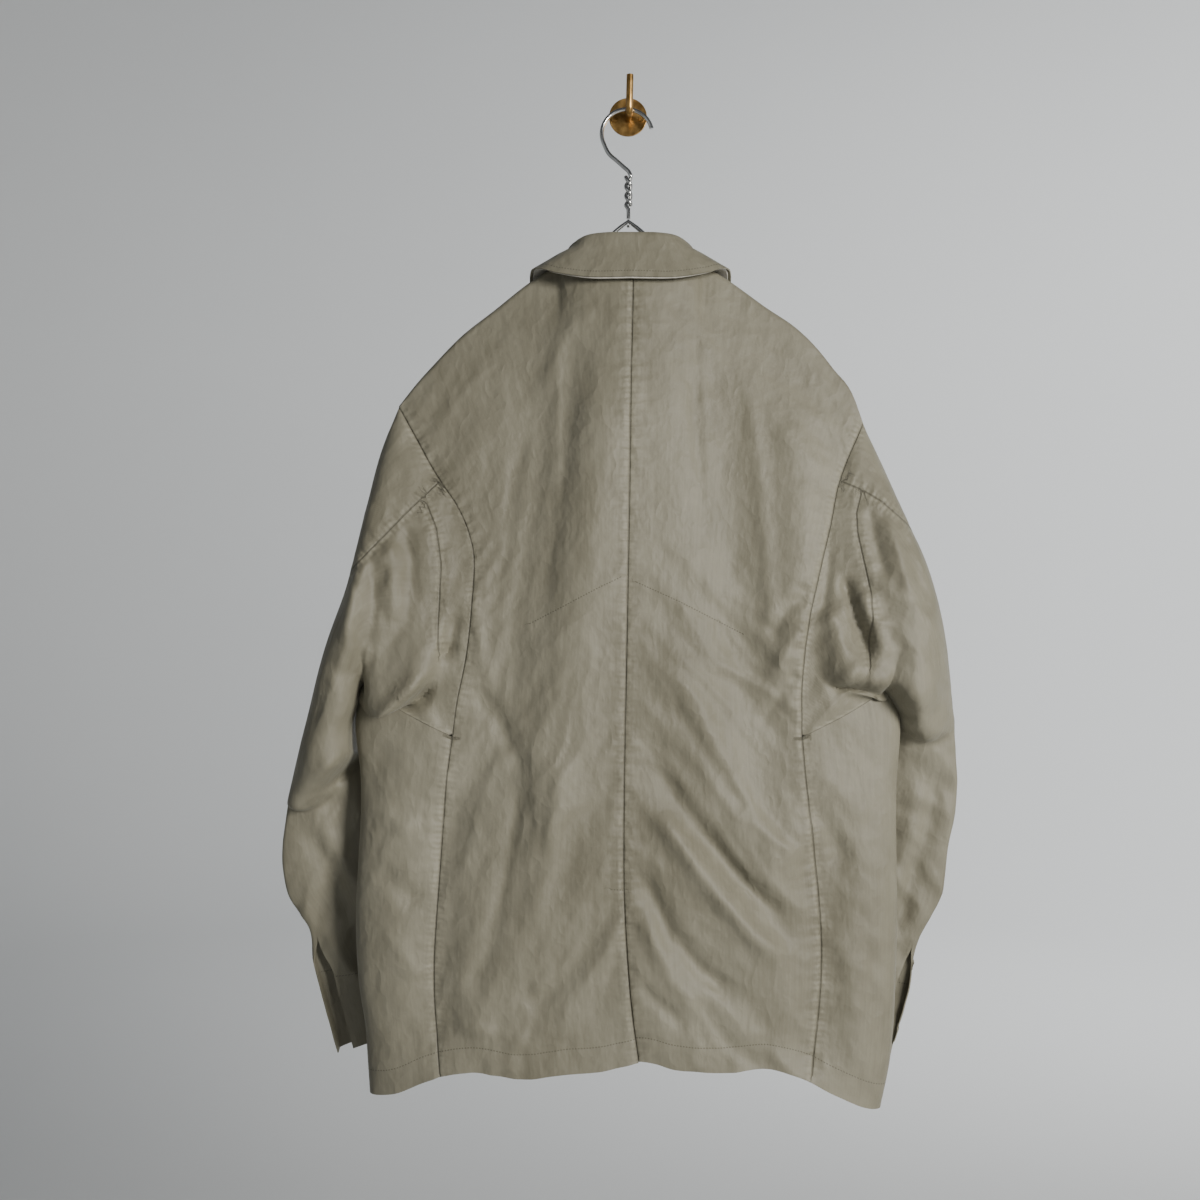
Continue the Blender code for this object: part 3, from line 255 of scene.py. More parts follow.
# %% small folds of the body
SMALL_BACK_FOLDS = [
    # name, height, half width, places
    ("crease along the upper slant", 4.4, 9, [(19, 670), (66, 735), (112, 791), (150, 819)]),
    ("crease inside it", -4.0, 8, [(6, 730), (39, 796), (66, 829), (103, 852)]),
    ("short crease low down", 3.6, 8, [(9, 772), (37, 833), (66, 866)]),
    ("shorter crease below", -3.2, 7, [(7, 838), (29, 859), (56, 881)]),
    ("crease left of the vent", 4.2, 8, [(-35, 773), (-64, 825), (-102, 854)]),
    ("crease in the left corner", 2.4, 8, [(-167, 876), (-124, 885), (-90, 893)]),
    ("fine slant 1", -3.4, 8, [(28, 560), (70, 622), (112, 690)]),
    ("fine slant 2", 3.2, 8, [(20, 610), (58, 668), (100, 722), (140, 765)]),
    ("fine slant 3", -3.4, 8, [(60, 690), (105, 745), (150, 785)]),
    ("fine slant 4", 1.8, 5, [(90, 640), (125, 690), (160, 730)]),
    ("left blade crease", -2.4, 9, [(-52, 250), (-60, 340), (-72, 430), (-84, 520)]),
    ("left blade ridge", 2.2, 8, [(-88, 300), (-104, 400), (-120, 500), (-136, 590)]),
    ("left lower crease", -4.2, 11, [(-95, 640), (-112, 720), (-130, 800), (-150, 870)]),
    ("left lower ridge", 4.0, 11, [(-60, 620), (-74, 710), (-92, 800)]),
    ("crease under the left armhole", 3.0, 7, [(-150, 470), (-140, 520), (-136, 560)]),
    ("drag from the left armhole", -4.0, 9, [(-150, 560), (-120, 600), (-95, 650)]),
    ("right blade crease", -2.2, 8, [(60, 250), (66, 340), (74, 440)]),
    ("right blade ridge", 2.2, 8, [(112, 260), (122, 350), (130, 450), (132, 540)]),
    ("drag from the right armhole 1", -3.8, 7, [(172, 470), (150, 490), (128, 520)]),
    ("drag from the right armhole 2", 3.4, 7, [(168, 500), (148, 525), (130, 560)]),
    ("drag from the right armhole 3", -2.4, 6, [(160, 545), (142, 572), (122, 600)]),
    ("collar drag left", 1.8, 9, [(-30, 190), (-60, 230), (-85, 285)]),
    ("collar drag right", -1.8, 9, [(35, 190), (62, 230), (90, 290)]),
    ("hem lift left", 2.4, 12, [(-120, 890), (-118, 905), (-116, 925)]),
    ("hem lift middle", -2.2, 10, [(-60, 885), (-58, 905), (-57, 922)]),
    ("hem lift right", 2.4, 11, [(60, 890), (62, 905), (63, 920)]),
    ("hem lift far right", -2.4, 10, [(120, 885), (121, 905), (122, 920)]),
    ("side panel crease left 1", 4.4, 9, [(-200, 700), (-225, 690), (-245, 672)]),
    ("side panel crease left 2", -4.4, 9, [(-195, 770), (-215, 755), (-240, 735)]),
    ("side panel crease left 3", 3.0, 9, [(-195, 840), (-212, 815), (-236, 790)]),
    ("side panel crease left 4", -3.0, 9, [(-200, 905), (-216, 880), (-240, 860)]),
    ("side panel crease right 1", 3.0, 8, [(170, 640), (195, 660), (225, 690)]),
    ("side panel crease right 2", -5.4, 8, [(168, 668), (188, 700), (205, 735)]),
    ("side panel crease right 3", 3.0, 9, [(190, 790), (205, 830), (215, 880)]),
    ("side panel crease right 4", -2.8, 8, [(215, 760), (228, 820), (235, 880)]),
]
SMALL_FRONT_FOLDS = [
    ("front drag left", 2.0, 9, [(-40, 320), (-70, 420), (-90, 520)]),
    ("front drag right", 2.0, 9, [(45, 330), (72, 430), (95, 540)]),
    ("front crease left", -2.0, 8, [(-120, 600), (-128, 700), (-140, 830)]),
    ("front crease right", -2.0, 8, [(118, 590), (130, 710), (138, 840)]),
    ("front slant left", 1.8, 8, [(-30, 700), (-60, 760), (-100, 810)]),
    ("front slant right", 1.8, 8, [(35, 690), (66, 750), (108, 800)]),
]
print("small folds:", len(SMALL_BACK_FOLDS) + len(SMALL_FRONT_FOLDS))

# %% [markdown]
# ## Two hanging layers
# 
# A jacket on a hanger is a flat bag: a back and a front layer that part slowly below the shoulders.
# Each layer is a depth y for every x and drop, so folds are simply added to it.

# %% depth of the back and front layer
NECK_SOFTENING = (6, 110)         # below the neckline, the neck's own form spreads and softens here
FOLD_START = (5, 70)         # folds begin this far below the neckline and the shoulders
SIDE_CALM = (0.02, 0.22)     # share of the half width over which folds die out at the sides
FRONT_FREE = (60, 260)       # the front turns from the shoulders' form to the body's here
FRONT_CLEAR = -5.0           # the front comes no closer to the plane y = 0


def neck_share(x):
    """1 at the neck's centre, 0 at its sides and beyond."""
    return np.sqrt(np.clip(1 - ((x - NECK_X) / NECK_HALF) ** 2, 0, 1))


def top_drop(x, layer):
    """Drop of the neckline and of the shoulder line beside it."""
    inside = np.abs(x - NECK_X) < NECK_HALF
    dip = NECK_BACK_DIP if layer == "back" else NECK_FRONT_DIP
    neck = NECK_SIDE_DROP + dip * neck_share(x)
    shoulder = np.where(x > NECK_X, shoulder_at["right"](x), shoulder_at["left"](-np.asarray(x)))
    return np.where(inside, neck, shoulder)


def soft_min(a, b):
    """The smaller of two lengths, with a smooth change where they cross."""
    power = 4.0
    a, b = np.maximum(a, 1e-6), np.maximum(b, 1e-6)
    return (a ** -power + b ** -power) ** (-1 / power)


def body_span(drop):
    """Centre and half width of the body at a drop."""
    edges = body_edge_at(drop)
    return (edges[..., 0] + edges[..., 1]) / 2, (edges[..., 1] - edges[..., 0]) / 2


def layer_y(x, drop, layer):
    """Depth of the back or front layer, with its folds."""
    x, drop = np.asarray(x, float), np.asarray(drop, float)
    centre, half = body_span(drop)
    depths = body_depth_at(drop)
    edge_y, back_y, front_y = depths[..., 0], depths[..., 1], depths[..., 2]
    power = BACK_ROUNDNESS if layer == "back" else FRONT_ROUNDNESS
    away = np.clip(np.abs(x - centre) / half, 0, 1)
    round_share = np.clip(1 - away ** power, 0, 1) ** (1 / power)
    top = top_drop(x, layer)
    below = np.maximum(drop - top, 0)
    start_y = HANGER_Y - HANGER_LEAN * top
    neck = neck_share(x)
    radius = RIDGE_RADIUS * (1 - neck) + 1e-6
    neck = mix(neck, np.exp(-(((x - NECK_X) / NECK_SPREAD) ** 2)), ramp(below, *NECK_SOFTENING))
    turn = radius * np.sqrt(np.clip(1 - (1 - np.minimum(below / radius, 1)) ** 2, 0, 1))
    fade = ramp(below, *FOLD_START) * ramp(1 - away, *SIDE_CALM)
    if layer == "back":
        ring = edge_y + (back_y - edge_y) * round_share
        parted = NECK_BACK_DEPTH * neck + turn + BACK_SLOPE * np.maximum(below - radius, 0)
        depth = soft_min(parted, start_y - ring)
        return start_y - depth - fade * fold_height(BACK_FOLDS + SMALL_BACK_FOLDS, x, drop)
    ring = edge_y + (front_y - edge_y) * round_share
    parted = NECK_FRONT_DEPTH * neck ** 0.5 + turn + FRONT_SLOPE * np.maximum(below - radius, 0)
    depth = soft_min(parted, np.maximum(ring - start_y, 0.5))
    blended = mix(start_y + depth, ring, ramp(below, *FRONT_FREE))
    return np.minimum(blended + fade * fold_height(FRONT_FOLDS + SMALL_FRONT_FOLDS, x, drop),
                      FRONT_CLEAR)


print("depth of the back at its middle:", round(float(layer_y(0.0, 500.0, "back")), 1))

# %% [markdown]
# ## Seams pull the cloth in
# 
# A sewn seam is a little shorter than the cloth beside it. The cloth dips at the seam and puckers in
# short waves across it. The distance to the nearest seam and the place along it are kept on every
# point, because the stitches and the wear are later painted from them.

# %% seams and rows of stitches
SEAM_DIP, SEAM_DIP_WIDTH = 1.1, 2.6
PUCKER, PUCKER_WIDTH, PUCKER_STEP = 0.95, 13.0, 12.5
HEM_STITCH = 23.0      # the hem's row of stitches is this far above its edge
HEM_GROOVE, HEM_GROOVE_WIDTH = 0.5, 2.5
HEM_RIPPLE = 0.45      # the doubled hem ripples between its stitches
FIELD_REACH = 30.0     # distances to a seam are kept up to here


def through(curve, low, high, sign=1.0):
    """Places x, drop along a curve that gives x for a drop."""
    return [(sign * float(curve(np.array(d))), d) for d in np.linspace(low, high, 24)]


SEAMS = [through(centre_seam_at, 162, 914)]
for side in ("left", "right"):
    low = ARMHOLE[side][0][0]
    SEAMS.append(through(armhole_at[side], low, LOW_DROP, SIGN[side]))
    SEAMS.append(through(side_seam_at[side], LOW_DROP, 926, SIGN[side]))
CAP_SEAM = {
    "left": [(-181, 369), (-210, 399), (-240, 432), (-269, 463)],
    "right": [(202, 369), (221, 378), (239, 389), (247, 396), (267, 413), (275, 420)],
}
BACK_SLEEVE_SEAM = {
    "left": [(-196, 383), (-183, 415), (-178, 449), (-179, 480), (-180, 505), (-179, 531)],
    "right": [(221, 378), (215, 400), (215, 420), (220, 449), (225, 475), (225, 502), (222, 547)],
}
ROWS_OF_STITCHES = [
    [(-94, 505), (-65, 490), (-29, 471), (-8, 461)],    # shaped yoke, left
    [(6, 466), (50, 486), (107, 515)],                  # shaped yoke, right
    [(-18, 751), (-6, 752)],                            # bar tack over the vent
]
print("seams:", len(SEAMS) + 4)


def nearest_line(lines, x, drop):
    """Signed distance to the nearest of several lines, and the place along it."""
    best = np.full(x.shape, FIELD_REACH)
    signed, along = best.copy(), np.zeros(x.shape)
    for line in lines:
        places = np.array(line, float)
        run = np.r_[0, np.cumsum(np.hypot(*np.diff(places, axis=0).T))]
        for i in range(len(places) - 1):
            a, step = places[i], places[i + 1] - places[i]
            f = np.clip(((x - a[0]) * step[0] + (drop - a[1]) * step[1]) / (step @ step), 0, 1)
            off_x, off_drop = x - a[0] - f * step[0], drop - a[1] - f * step[1]
            away = np.hypot(off_x, off_drop)
            side_of = np.where(step[0] * off_drop - step[1] * off_x < 0, -1.0, 1.0)
            closer = away < best
            signed = np.where(closer, away * side_of, signed)
            along = np.where(closer, mix(run[i], run[i + 1], f), along)
            best = np.minimum(best, away)
    return signed, along


# Size across and along a crease, and its height, from the largest to the smallest
CREASE_SIZES = [(38, 125, 6.6), (17, 56, 2.6), (8, 22, 0.4)]
CREASE_LEVEL = 0.22    # noise weaker than this is a ridge
CREASE_WANDER = 9      # creases wander this far sideways
PATCHES = (0.75, 0.9)  # mean and swing of the patches of calm and crumpled cloth
PATCH_LIMITS = (0.25, 1.4)
CREASE_LEAN = {"left": 24, "right": -44}   # degrees from hanging straight down
CALM_SHARE = 0.45      # the shoulders are this much calmer than the part below the arms


def creases(px, pd, lean, shift):
    """Crumpled cloth at one place: sharp low ridges with soft hollows between, leaning one way."""
    turn = math.radians(lean)
    across, along = px * math.cos(turn) + pd * math.sin(turn), pd * math.cos(turn) - px * math.sin(turn)
    across += CREASE_WANDER * noise.noise(Vector((px / 60, pd / 60, shift + 3)))
    return sum(high * (CREASE_LEVEL - abs(noise.noise(Vector((across / wide, along / tall, shift + wide)))))
               for wide, tall, high in CREASE_SIZES)


def rumple(x, drop, layer):
    """The crumpling that wearing and washing leave; it leans away from the middle of the back."""
    shift = 40.0 if layer == "front" else 0.0
    total = []
    for px, pd in np.column_stack([np.ravel(x), np.ravel(drop)]):
        share = float(ramp(px, -45, 45))
        height = 0.0
        if share < 1:
            height += (1 - share) * creases(px, pd, CREASE_LEAN["left"], shift)
        if share > 0:
            height += share * creases(px, pd, CREASE_LEAN["right"], shift + 20)
        patch = PATCHES[0] + PATCHES[1] * noise.noise(Vector((px / 90, pd / 120, shift + 60)))
        calm = mix(CALM_SHARE, 1, float(ramp(pd, 330, 560)))
        total.append(height * min(max(patch, PATCH_LIMITS[0]), PATCH_LIMITS[1]) * calm)
    return np.array(total).reshape(np.shape(x))


def seam_relief(off, along):
    """How far the cloth lies below its own form beside a seam."""
    wave = np.sin(along * (2 * math.pi / PUCKER_STEP) + 2.0 * np.sin(along / 23.0))
    dip = SEAM_DIP * np.exp(-((off / SEAM_DIP_WIDTH) ** 2))
    return dip + PUCKER * wave * np.exp(-((np.abs(off) / PUCKER_WIDTH) ** 1.5)) * ramp(np.abs(off), 0.5, 4)


off, along = nearest_line(SEAMS, np.array([0.0]), np.array([500.0]))
print("distance to the centre seam at x = 0:", round(float(off[0]), 1))

# %% [markdown]
# ## Finer rows and columns
# 
# The panels are grids. The same rule that cuts the coarse solid cuts this one, with rows and columns
# about 3 mm apart.

# %% finer rows and columns
def finer(values, step):
    """The same values with even ones between them, none further apart than a step."""
    made = [values[0]]
    for low, high in zip(values, values[1:]):
        made += list(np.linspace(low, high, max(1, math.ceil((high - low) / step)) + 1)[1:])
    return tuple(made)


NECK_COLUMNS = finer((0.0, 0.36, 0.70, 0.90, 0.975, 1.0), 0.052)
SHOULDER_COLUMNS = 46
NECK_FADE = 0.3
COLUMN_LEAN = {"back": 0.02, "front": 0.12}
ARM_ROWS = finer((0.0, 0.013, 0.037, 0.090, 0.160, 0.212, 0.30, 0.39, 0.48, 0.57, 0.66, 0.76, 0.88, 1.0),
                 0.0075)
LOW_ROWS = finer((0.0, 0.09, 0.185, 0.28, 0.375, 0.47, 0.56, 0.65, 0.735, 0.81, 0.87, 0.922, 1.0),
                 0.011)[1:]
VENT_ROW = len(ARM_ROWS) + LOW_ROWS.index(0.47)
SIDE_STEPS = 48
print("rows:", len(ARM_ROWS) + len(LOW_ROWS), "columns:", len(NECK_COLUMNS) + SHOULDER_COLUMNS)

# %% the back halves and the fronts
FRONT_LAP, FRONT_LAP_DEPTH = 18.0, 3.1
VENT_LAP, VENT_DEPTH = 36.0, 3.4
VENT_BLEND = 26.0      # over this width the right half sinks under the left one
CENTRE_LOW, SIDE_LOW = 914.0, 928.0   # lowest drops of the centre seam and of the side seams


def outward(side, x):
    return SIGN[side] * x


def body_rows(side, layer):
    """Places x and drop of a body panel, row by row from the top edge down to the hem."""
    neck_x = NECK_X + SIGN[side] * NECK_HALF
    tip_drop = ARMHOLE[side][0][0]
    tip_x = outward(side, ARMHOLE[side][0][1])
    if layer == "back":
        centre_at, centre_top = centre_seam_at, NECK_SIDE_DROP + NECK_BACK_DIP
    else:
        lap_x = NECK_X - SIGN[side] * FRONT_LAP

        def centre_at(drop):
            return np.full(np.shape(drop), lap_x)

        centre_top = float(top_drop(np.array(lap_x), "front"))
    top_x0 = float(centre_at(np.array(centre_top)))
    neck_shares = [s * (neck_x - top_x0) / (tip_x - top_x0) for s in NECK_COLUMNS]
    rest = np.linspace(neck_shares[-1], 1, SHOULDER_COLUMNS + 1)[1:]
    columns = np.r_[neck_shares, rest]
    top_x = mix(top_x0, tip_x, columns)
    top = top_drop(top_x, layer)
    top[len(NECK_COLUMNS) - 1] = NECK_SIDE_DROP
    top[-1] = tip_drop
    lean = np.interp(columns, [0, neck_shares[-1], 1], [0, COLUMN_LEAN[layer], 0])

    def spread(f):
        """The columns lean away from the neckline, which is steep beside the neck."""
        return columns + lean * (1 - math.exp(-f / 0.08))

    rows = []
    even = np.interp(columns, [0, neck_shares[-1]], [top[0], NECK_SIDE_DROP])
    even = np.where(columns < neck_shares[-1], even, top)
    for f in ARM_ROWS:
        drop = mix(mix(top, even, float(ramp(f, 0, NECK_FADE))), LOW_DROP, f)
        inner = centre_at(mix(centre_top, LOW_DROP, f))
        outer = outward(side, armhole_at[side](mix(tip_drop, LOW_DROP, f)))
        rows.append((mix(inner, outer, spread(f)), drop))
    bottom_in = centre_at(np.array(CENTRE_LOW))
    bottom_out = outward(side, side_seam_at[side](np.array(SIDE_LOW)))
    bottom = hem_at[layer](mix(bottom_in, bottom_out, spread(1)))
    for f in LOW_ROWS:
        drop = mix(LOW_DROP, bottom, f)
        inner = centre_at(drop)
        outer = outward(side, side_seam_at[side](drop))
        rows.append((mix(inner, outer, spread(1)), drop))
    return rows


def body_panel(side, layer):
    """Points x, y, z of a back half or a front, in millimetres."""
    rows = body_rows(side, layer)
    x = np.array([row[0] for row in rows])
    drop = np.array([row[1] for row in rows])
    y = layer_y(x, drop, layer)
    if layer == "front" and side == "right":
        y = y - FRONT_LAP_DEPTH * (1 - ramp(x, NECK_X + FRONT_LAP + 4, NECK_X + FRONT_LAP + 40))
    if layer == "back" and side == "right":
        beside = np.clip(1 - (x - x[:, :1]) / VENT_BLEND, 0, 1)
        y = y + VENT_DEPTH * beside * ramp(np.arange(len(x)) - VENT_ROW, 0, 9)[:, None]
    return np.stack([x, y, -drop], axis=-1)


def with_relief(points, layer):
    """The same points with the seams' dips and the cloth's unevenness; the layer's outside is -Y or +Y."""
    x, drop = points[..., 0], -points[..., 2]
    off, along = nearest_line(SEAMS, x, drop)
    below = np.maximum(drop - top_drop(x, layer), 0)
    in_relief = seam_relief(off, along) * ramp(below, 0, 12) - rumple(x, drop, layer) * ramp(below, 4, 40)
    hem = hem_at[layer](x) - drop
    in_relief += HEM_GROOVE * np.exp(-(((hem - HEM_STITCH) / HEM_GROOVE_WIDTH) ** 2))
    in_relief += HEM_RIPPLE * np.sin(x / 4.1 + 1.5 * np.sin(x / 17)) * ramp(-hem, -46, -8)
    raised = points.copy()
    raised[..., 1] += in_relief if layer == "back" else -in_relief
    return raised


panels = {}
for side in ("left", "right"):
    for layer in ("back", "front"):
        panels[layer + "_" + side] = with_relief(body_panel(side, layer), layer)
        print(layer, side, panels[layer + "_" + side].shape)

# %% the side panels
SWELL, SWELL_DROP, SWELL_REACH = 13.5, 592.0, 50.0   # the side swells under the sleeve


def side_panel(side):
    """Points of a side panel, column by column from the side-back seam to the side-front seam."""
    columns = []
    for j in range(SIDE_STEPS + 1):
        q = j / SIDE_STEPS
        layer = "back" if q <= 0.5 else "front"
        power = BACK_ROUNDNESS if layer == "back" else FRONT_ROUNDNESS
        rise = math.sin(math.pi * q)
        top = LOW_DROP - (LOW_DROP - SIDE_TOP_DROP) * rise
        edge_x = outward(side, HEM_REACH)
        seam_x = outward(side, float(side_seam_at[side](np.array(SIDE_LOW))))
        bottom_x = mix(seam_x, edge_x, math.sin(math.pi * q) ** 0.8)
        bottom = float(hem_at[layer](np.array(bottom_x)))
        drop = mix(top, bottom, np.r_[0, LOW_ROWS])
        centre, half = body_span(drop)
        seam = outward(side, side_seam_at[side](drop))
        start = np.arccos(np.clip(np.abs(seam - centre) / half, 0, 1) ** (power / 2))
        angle = start * abs(1 - 2 * q)
        x = centre + SIGN[side] * half * np.cos(angle) ** (2 / power)
        if j in (0, SIDE_STEPS):
            x = seam
        columns.append(np.stack([x, layer_y(x, drop, layer), -drop], axis=-1))
    return np.stack(columns, axis=1)


for side in ("left", "right"):
    points = side_panel(side)
    x, drop = points[..., 0], -points[..., 2]
    off, along = nearest_line(SEAMS, x, drop)
    turn = np.linspace(-1, 1, points.shape[1])
    swell = np.exp(-(((drop - SWELL_DROP) / SWELL_REACH) ** 2)) * np.cos(turn * math.pi / 2) ** 1.5
    points[..., 0] += SIGN[side] * SWELL * swell
    relief = seam_relief(off, along) * ramp(np.abs(turn), 0.3, 1.0)
    relief -= rumple(x, drop, "back") * (1 - np.abs(turn) ** 8)
    points[..., 1] -= relief * np.sin(turn * math.pi / 2)
    points[:, 0] = panels["back_" + side][len(ARM_ROWS) - 1:, -1]
    points[:, -1] = panels["front_" + side][len(ARM_ROWS) - 1:, -1]
    panels["side_" + side] = points
    print("side", side, points.shape)

# %% [markdown]
# ## Sleeves
# 
# A sleeve is a row of rounded sections from the armhole to the wrist. Near the armhole the sections
# turn into the armhole's own outline, so that sleeve and body meet at one seam.

# %% sleeve sections
SLEEVE_FOLDS = [
    ("left roll over the elbow", 9, 22,
     [(-165, 500), (-195, 535), (-240, 575), (-285, 615), (-312, 640)]),
    ("left crease above the roll", -8, 20, [(-190, 470), (-225, 505), (-270, 560)]),
    ("left ridge from the cap", 6, 18, [(-200, 400), (-215, 450), (-228, 490)]),
    ("right roll over the elbow", 8, 20, [(190, 520), (225, 530), (262, 545), (292, 580)]),
    ("right crease above the roll", -8, 18, [(215, 430), (228, 470), (240, 500)]),
    ("right ridge by the armhole", 7, 16, [(193, 430), (188, 480), (184, 530)]),
]

# A section runs from the sleeve's outer edge to its inner edge. Columns: outer x, outer drop, outer y,
# inner x, inner drop, inner y, depth of the back layer, depth of the front layer
SLEEVE = {
    "right": [
        (228, 310, -39, 241, 562, -60, 26, 14),
        (250, 359, -44, 241, 557, -61, 38, 19),
        (270, 407, -48, 242, 554, -60, 46, 21),
        (287, 449, -50, 243, 553, -58, 48, 22),
        (300, 497, -50, 246, 555, -55, 48, 21),
        (308, 545, -48, 250, 564, -51, 42, 19),
        (314, 588, -45, 256, 592, -40, 26, 14),
        (318, 630, -39, 246, 640, -27, 15, 11),
        (320, 677, -34, 220, 690, -19.5, 12, 9),
        (313, 718, -31, 208, 738, -17, 11, 8.5),
        (306, 772, -28, 201, 785, -15.5, 10, 8),
        (284, 815, -25, 194, 815, -14.5, 9, 7.5),
        (277, 860, -23.5, 186, 850, -14, 9, 7.5),
        (256, 934, -22, 168, 905, -13, 9, 7.5),
    ],
    "left": [
        (-224, 294, -37.5, -247, 562, -60, 26, 14),
        (-246, 352, -44, -248, 557, -61, 38, 19),
        (-257, 410, -48, -249, 553, -60, 46, 21),
        (-270, 465, -50, -250, 551, -58, 50, 22),
        (-290, 522, -50, -252, 552, -56, 50, 21),
        (-308, 590, -48, -255, 562, -52, 45, 19),
        (-321, 640, -45, -261, 586, -44, 32, 15),
        (-331, 685, -40, -254, 632, -29, 17, 12),
        (-335.5, 735, -35, -226, 690, -20, 12, 10),
        (-331, 765, -31, -210, 735, -17, 11, 9),
        (-311, 800, -28, -203, 775, -15.5, 10, 8),
        (-309, 830, -25, -199, 812, -14.5, 9, 7.5),
        (-301, 862, -23.5, -195, 848, -14, 9, 7.5),
        (-285, 922, -22, -188, 888, -13, 9, 7.5),
    ],
}
# Distances along the sleeve's outer edge: where the slit starts and the cuff starts
SLIT_START = {"right": 530.0, "left": 534.0}
CUFF_START = {"right": 571.0, "left": 573.0}
FLAT_ROUNDNESS = 0.5   # how full the ends of a flat section are: 1 is an ellipse, less is blunter
WALL_CLEAR = -2.6      # nothing of the cloth comes closer to the plane y = 0
ARM_BLEND = 0.22       # share of the sleeve over which the armhole's outline turns into sections
BACK_SEAM_LOW = 0.045  # where the sleeve's back seam lies on the forearm, as a share of the girth
SLIT_NEAR, SLIT_FAR = 0.050, 0.040  # the slit's edges part by these shares of the girth
print("sections of a sleeve:", len(SLEEVE["left"]))

# %% small folds of the sleeves
SMALL_SLEEVE_FOLDS = [
    ("left bulge over the armhole", 14, 13, [(-150, 462), (-143, 485), (-148, 510), (-163, 528)]),
    ("left hollow under the bulge", -14, 8, [(-160, 492), (-165, 512), (-172, 534)]),
    ("left lip of the roll", 10, 9, [(-180, 524), (-215, 556), (-255, 592), (-292, 630)]),
    ("left trough under the roll", -18, 11, [(-180, 548), (-215, 582), (-255, 618), (-290, 655)]),
    ("left crease by the outer edge", -3.5, 8, [(-262, 500), (-285, 560), (-302, 610)]),
    ("left crease below the cap 1", -4.6, 7, [(-212, 405), (-205, 440), (-203, 478)]),
    ("left crease below the cap 2", 4.0, 7, [(-226, 420), (-220, 455), (-220, 500)]),
    ("left crease below the cap 3", -4.2, 7, [(-240, 436), (-238, 480), (-245, 530)]),
    ("left crease below the cap 4", 4.0, 8, [(-256, 455), (-260, 500), (-272, 550)]),
    ("left forearm crease 1", -3.4, 9, [(-318, 690), (-290, 735), (-270, 790), (-258, 850)]),
    ("left forearm ridge", 3.4, 10, [(-300, 680), (-275, 735), (-250, 790), (-238, 860)]),
    ("left elbow crease", -3.0, 8, [(-325, 660), (-300, 672), (-270, 672)]),
    ("left wrist crease", 2.6, 8, [(-300, 790), (-285, 820), (-262, 850)]),
    ("right lump 1", 9, 11, [(183, 488), (198, 520), (214, 542)]),
    ("right lump 2", 7, 9, [(214, 470), (228, 505), (240, 535)]),
    ("right hollow between them", -9, 6, [(201, 455), (212, 495), (226, 530)]),
    ("right trough under the lumps", -13, 9, [(183, 556), (205, 551), (228, 553), (250, 562), (272, 585)]),
    ("right lip over the forearm", 6, 8, [(190, 542), (222, 538), (250, 546), (282, 572)]),
    ("right crease by the armhole", -4, 6, [(186, 430), (183, 465), (180, 500)]),
    ("right crease below the cap 1", -4.2, 6, [(228, 392), (232, 430), (240, 465)]),
    ("right crease below the cap 2", 4.0, 7, [(244, 402), (252, 440), (262, 480)]),
    ("right crease below the cap 3", -4.2, 7, [(258, 415), (270, 455), (282, 500)]),
    ("right forearm crease 1", -3.4, 9, [(300, 640), (292, 700), (272, 770), (262, 840)]),
    ("right forearm ridge", 3.2, 10, [(280, 630), (275, 700), (256, 770), (244, 840)]),
    ("right elbow crease", -3.2, 8, [(316, 606), (296, 618), (270, 612)]),
    ("right wrist crease", 2.6, 8, [(284, 780), (262, 815), (250, 850)]),
]
# Where a sleeve sags over the cloth below it: line of places, half width, shift across, down and out
SLEEVE_ROLLS = {
    "left": ([(-172, 512), (-210, 545), (-250, 580), (-285, 620), (-312, 652)], 24, (-4, 26, 17)),
    "right": ([(190, 540), (225, 544), (256, 560), (286, 592)], 21, (-3, 17, 12)),
}
SLEEVE_RUMPLE = 1.35   # a sleeve is more crumpled than the body
ROLL_FAR_SHARE = 0.35  # of a roll's shift on the sleeve's far side
print("small folds of the sleeves:", len(SMALL_SLEEVE_FOLDS))

# %% the armhole's outline
def armhole_loop(panels, side):
    """The closed armhole as the panels make it, back, under the arm and front: points and girth shares."""
    count = len(ARM_ROWS)
    back = panels["back_" + side][:count, -1]
    under = panels["side_" + side][0, 1:]
    front = panels["front_" + side][:count, -1][::-1][1:-1]
    loop = np.vstack([back, under, front])
    steps = np.linalg.norm(np.diff(np.vstack([loop, loop[:1]]), axis=0), axis=1)
    half = len(back) - 1 + SIDE_STEPS // 2
    lengths = np.r_[0, np.cumsum(steps)]
    first, second = lengths[half], lengths[-1] - lengths[half]
    share = np.where(np.arange(len(loop)) <= half, 0.5 * lengths[:-1] / first,
                     0.5 + 0.5 * (lengths[:-1] - first) / second)
    return loop, share


for side in ("left", "right"):
    loop, share = armhole_loop(panels, side)
    print(side, "armhole round:", round(float(np.linalg.norm(np.diff(loop, axis=0), axis=1).sum())), "mm")

# %% rings of a sleeve
def half_section(half_width, depth):
    """Half of a rounded section, from its outer to its inner edge: shares of the girth, across, out."""
    turn = np.linspace(0, np.pi, 121)
    power = mix(FLAT_ROUNDNESS, 1.0, float(ramp(depth / half_width, 0.2, 0.8)))
    out = np.abs(np.sin(turn)) ** power
    lengths = np.r_[0, np.cumsum(np.hypot(np.diff(half_width * np.cos(turn)), np.diff(depth * out)))]
    return lengths / lengths[-1], (1 - np.cos(turn)) / 2, out


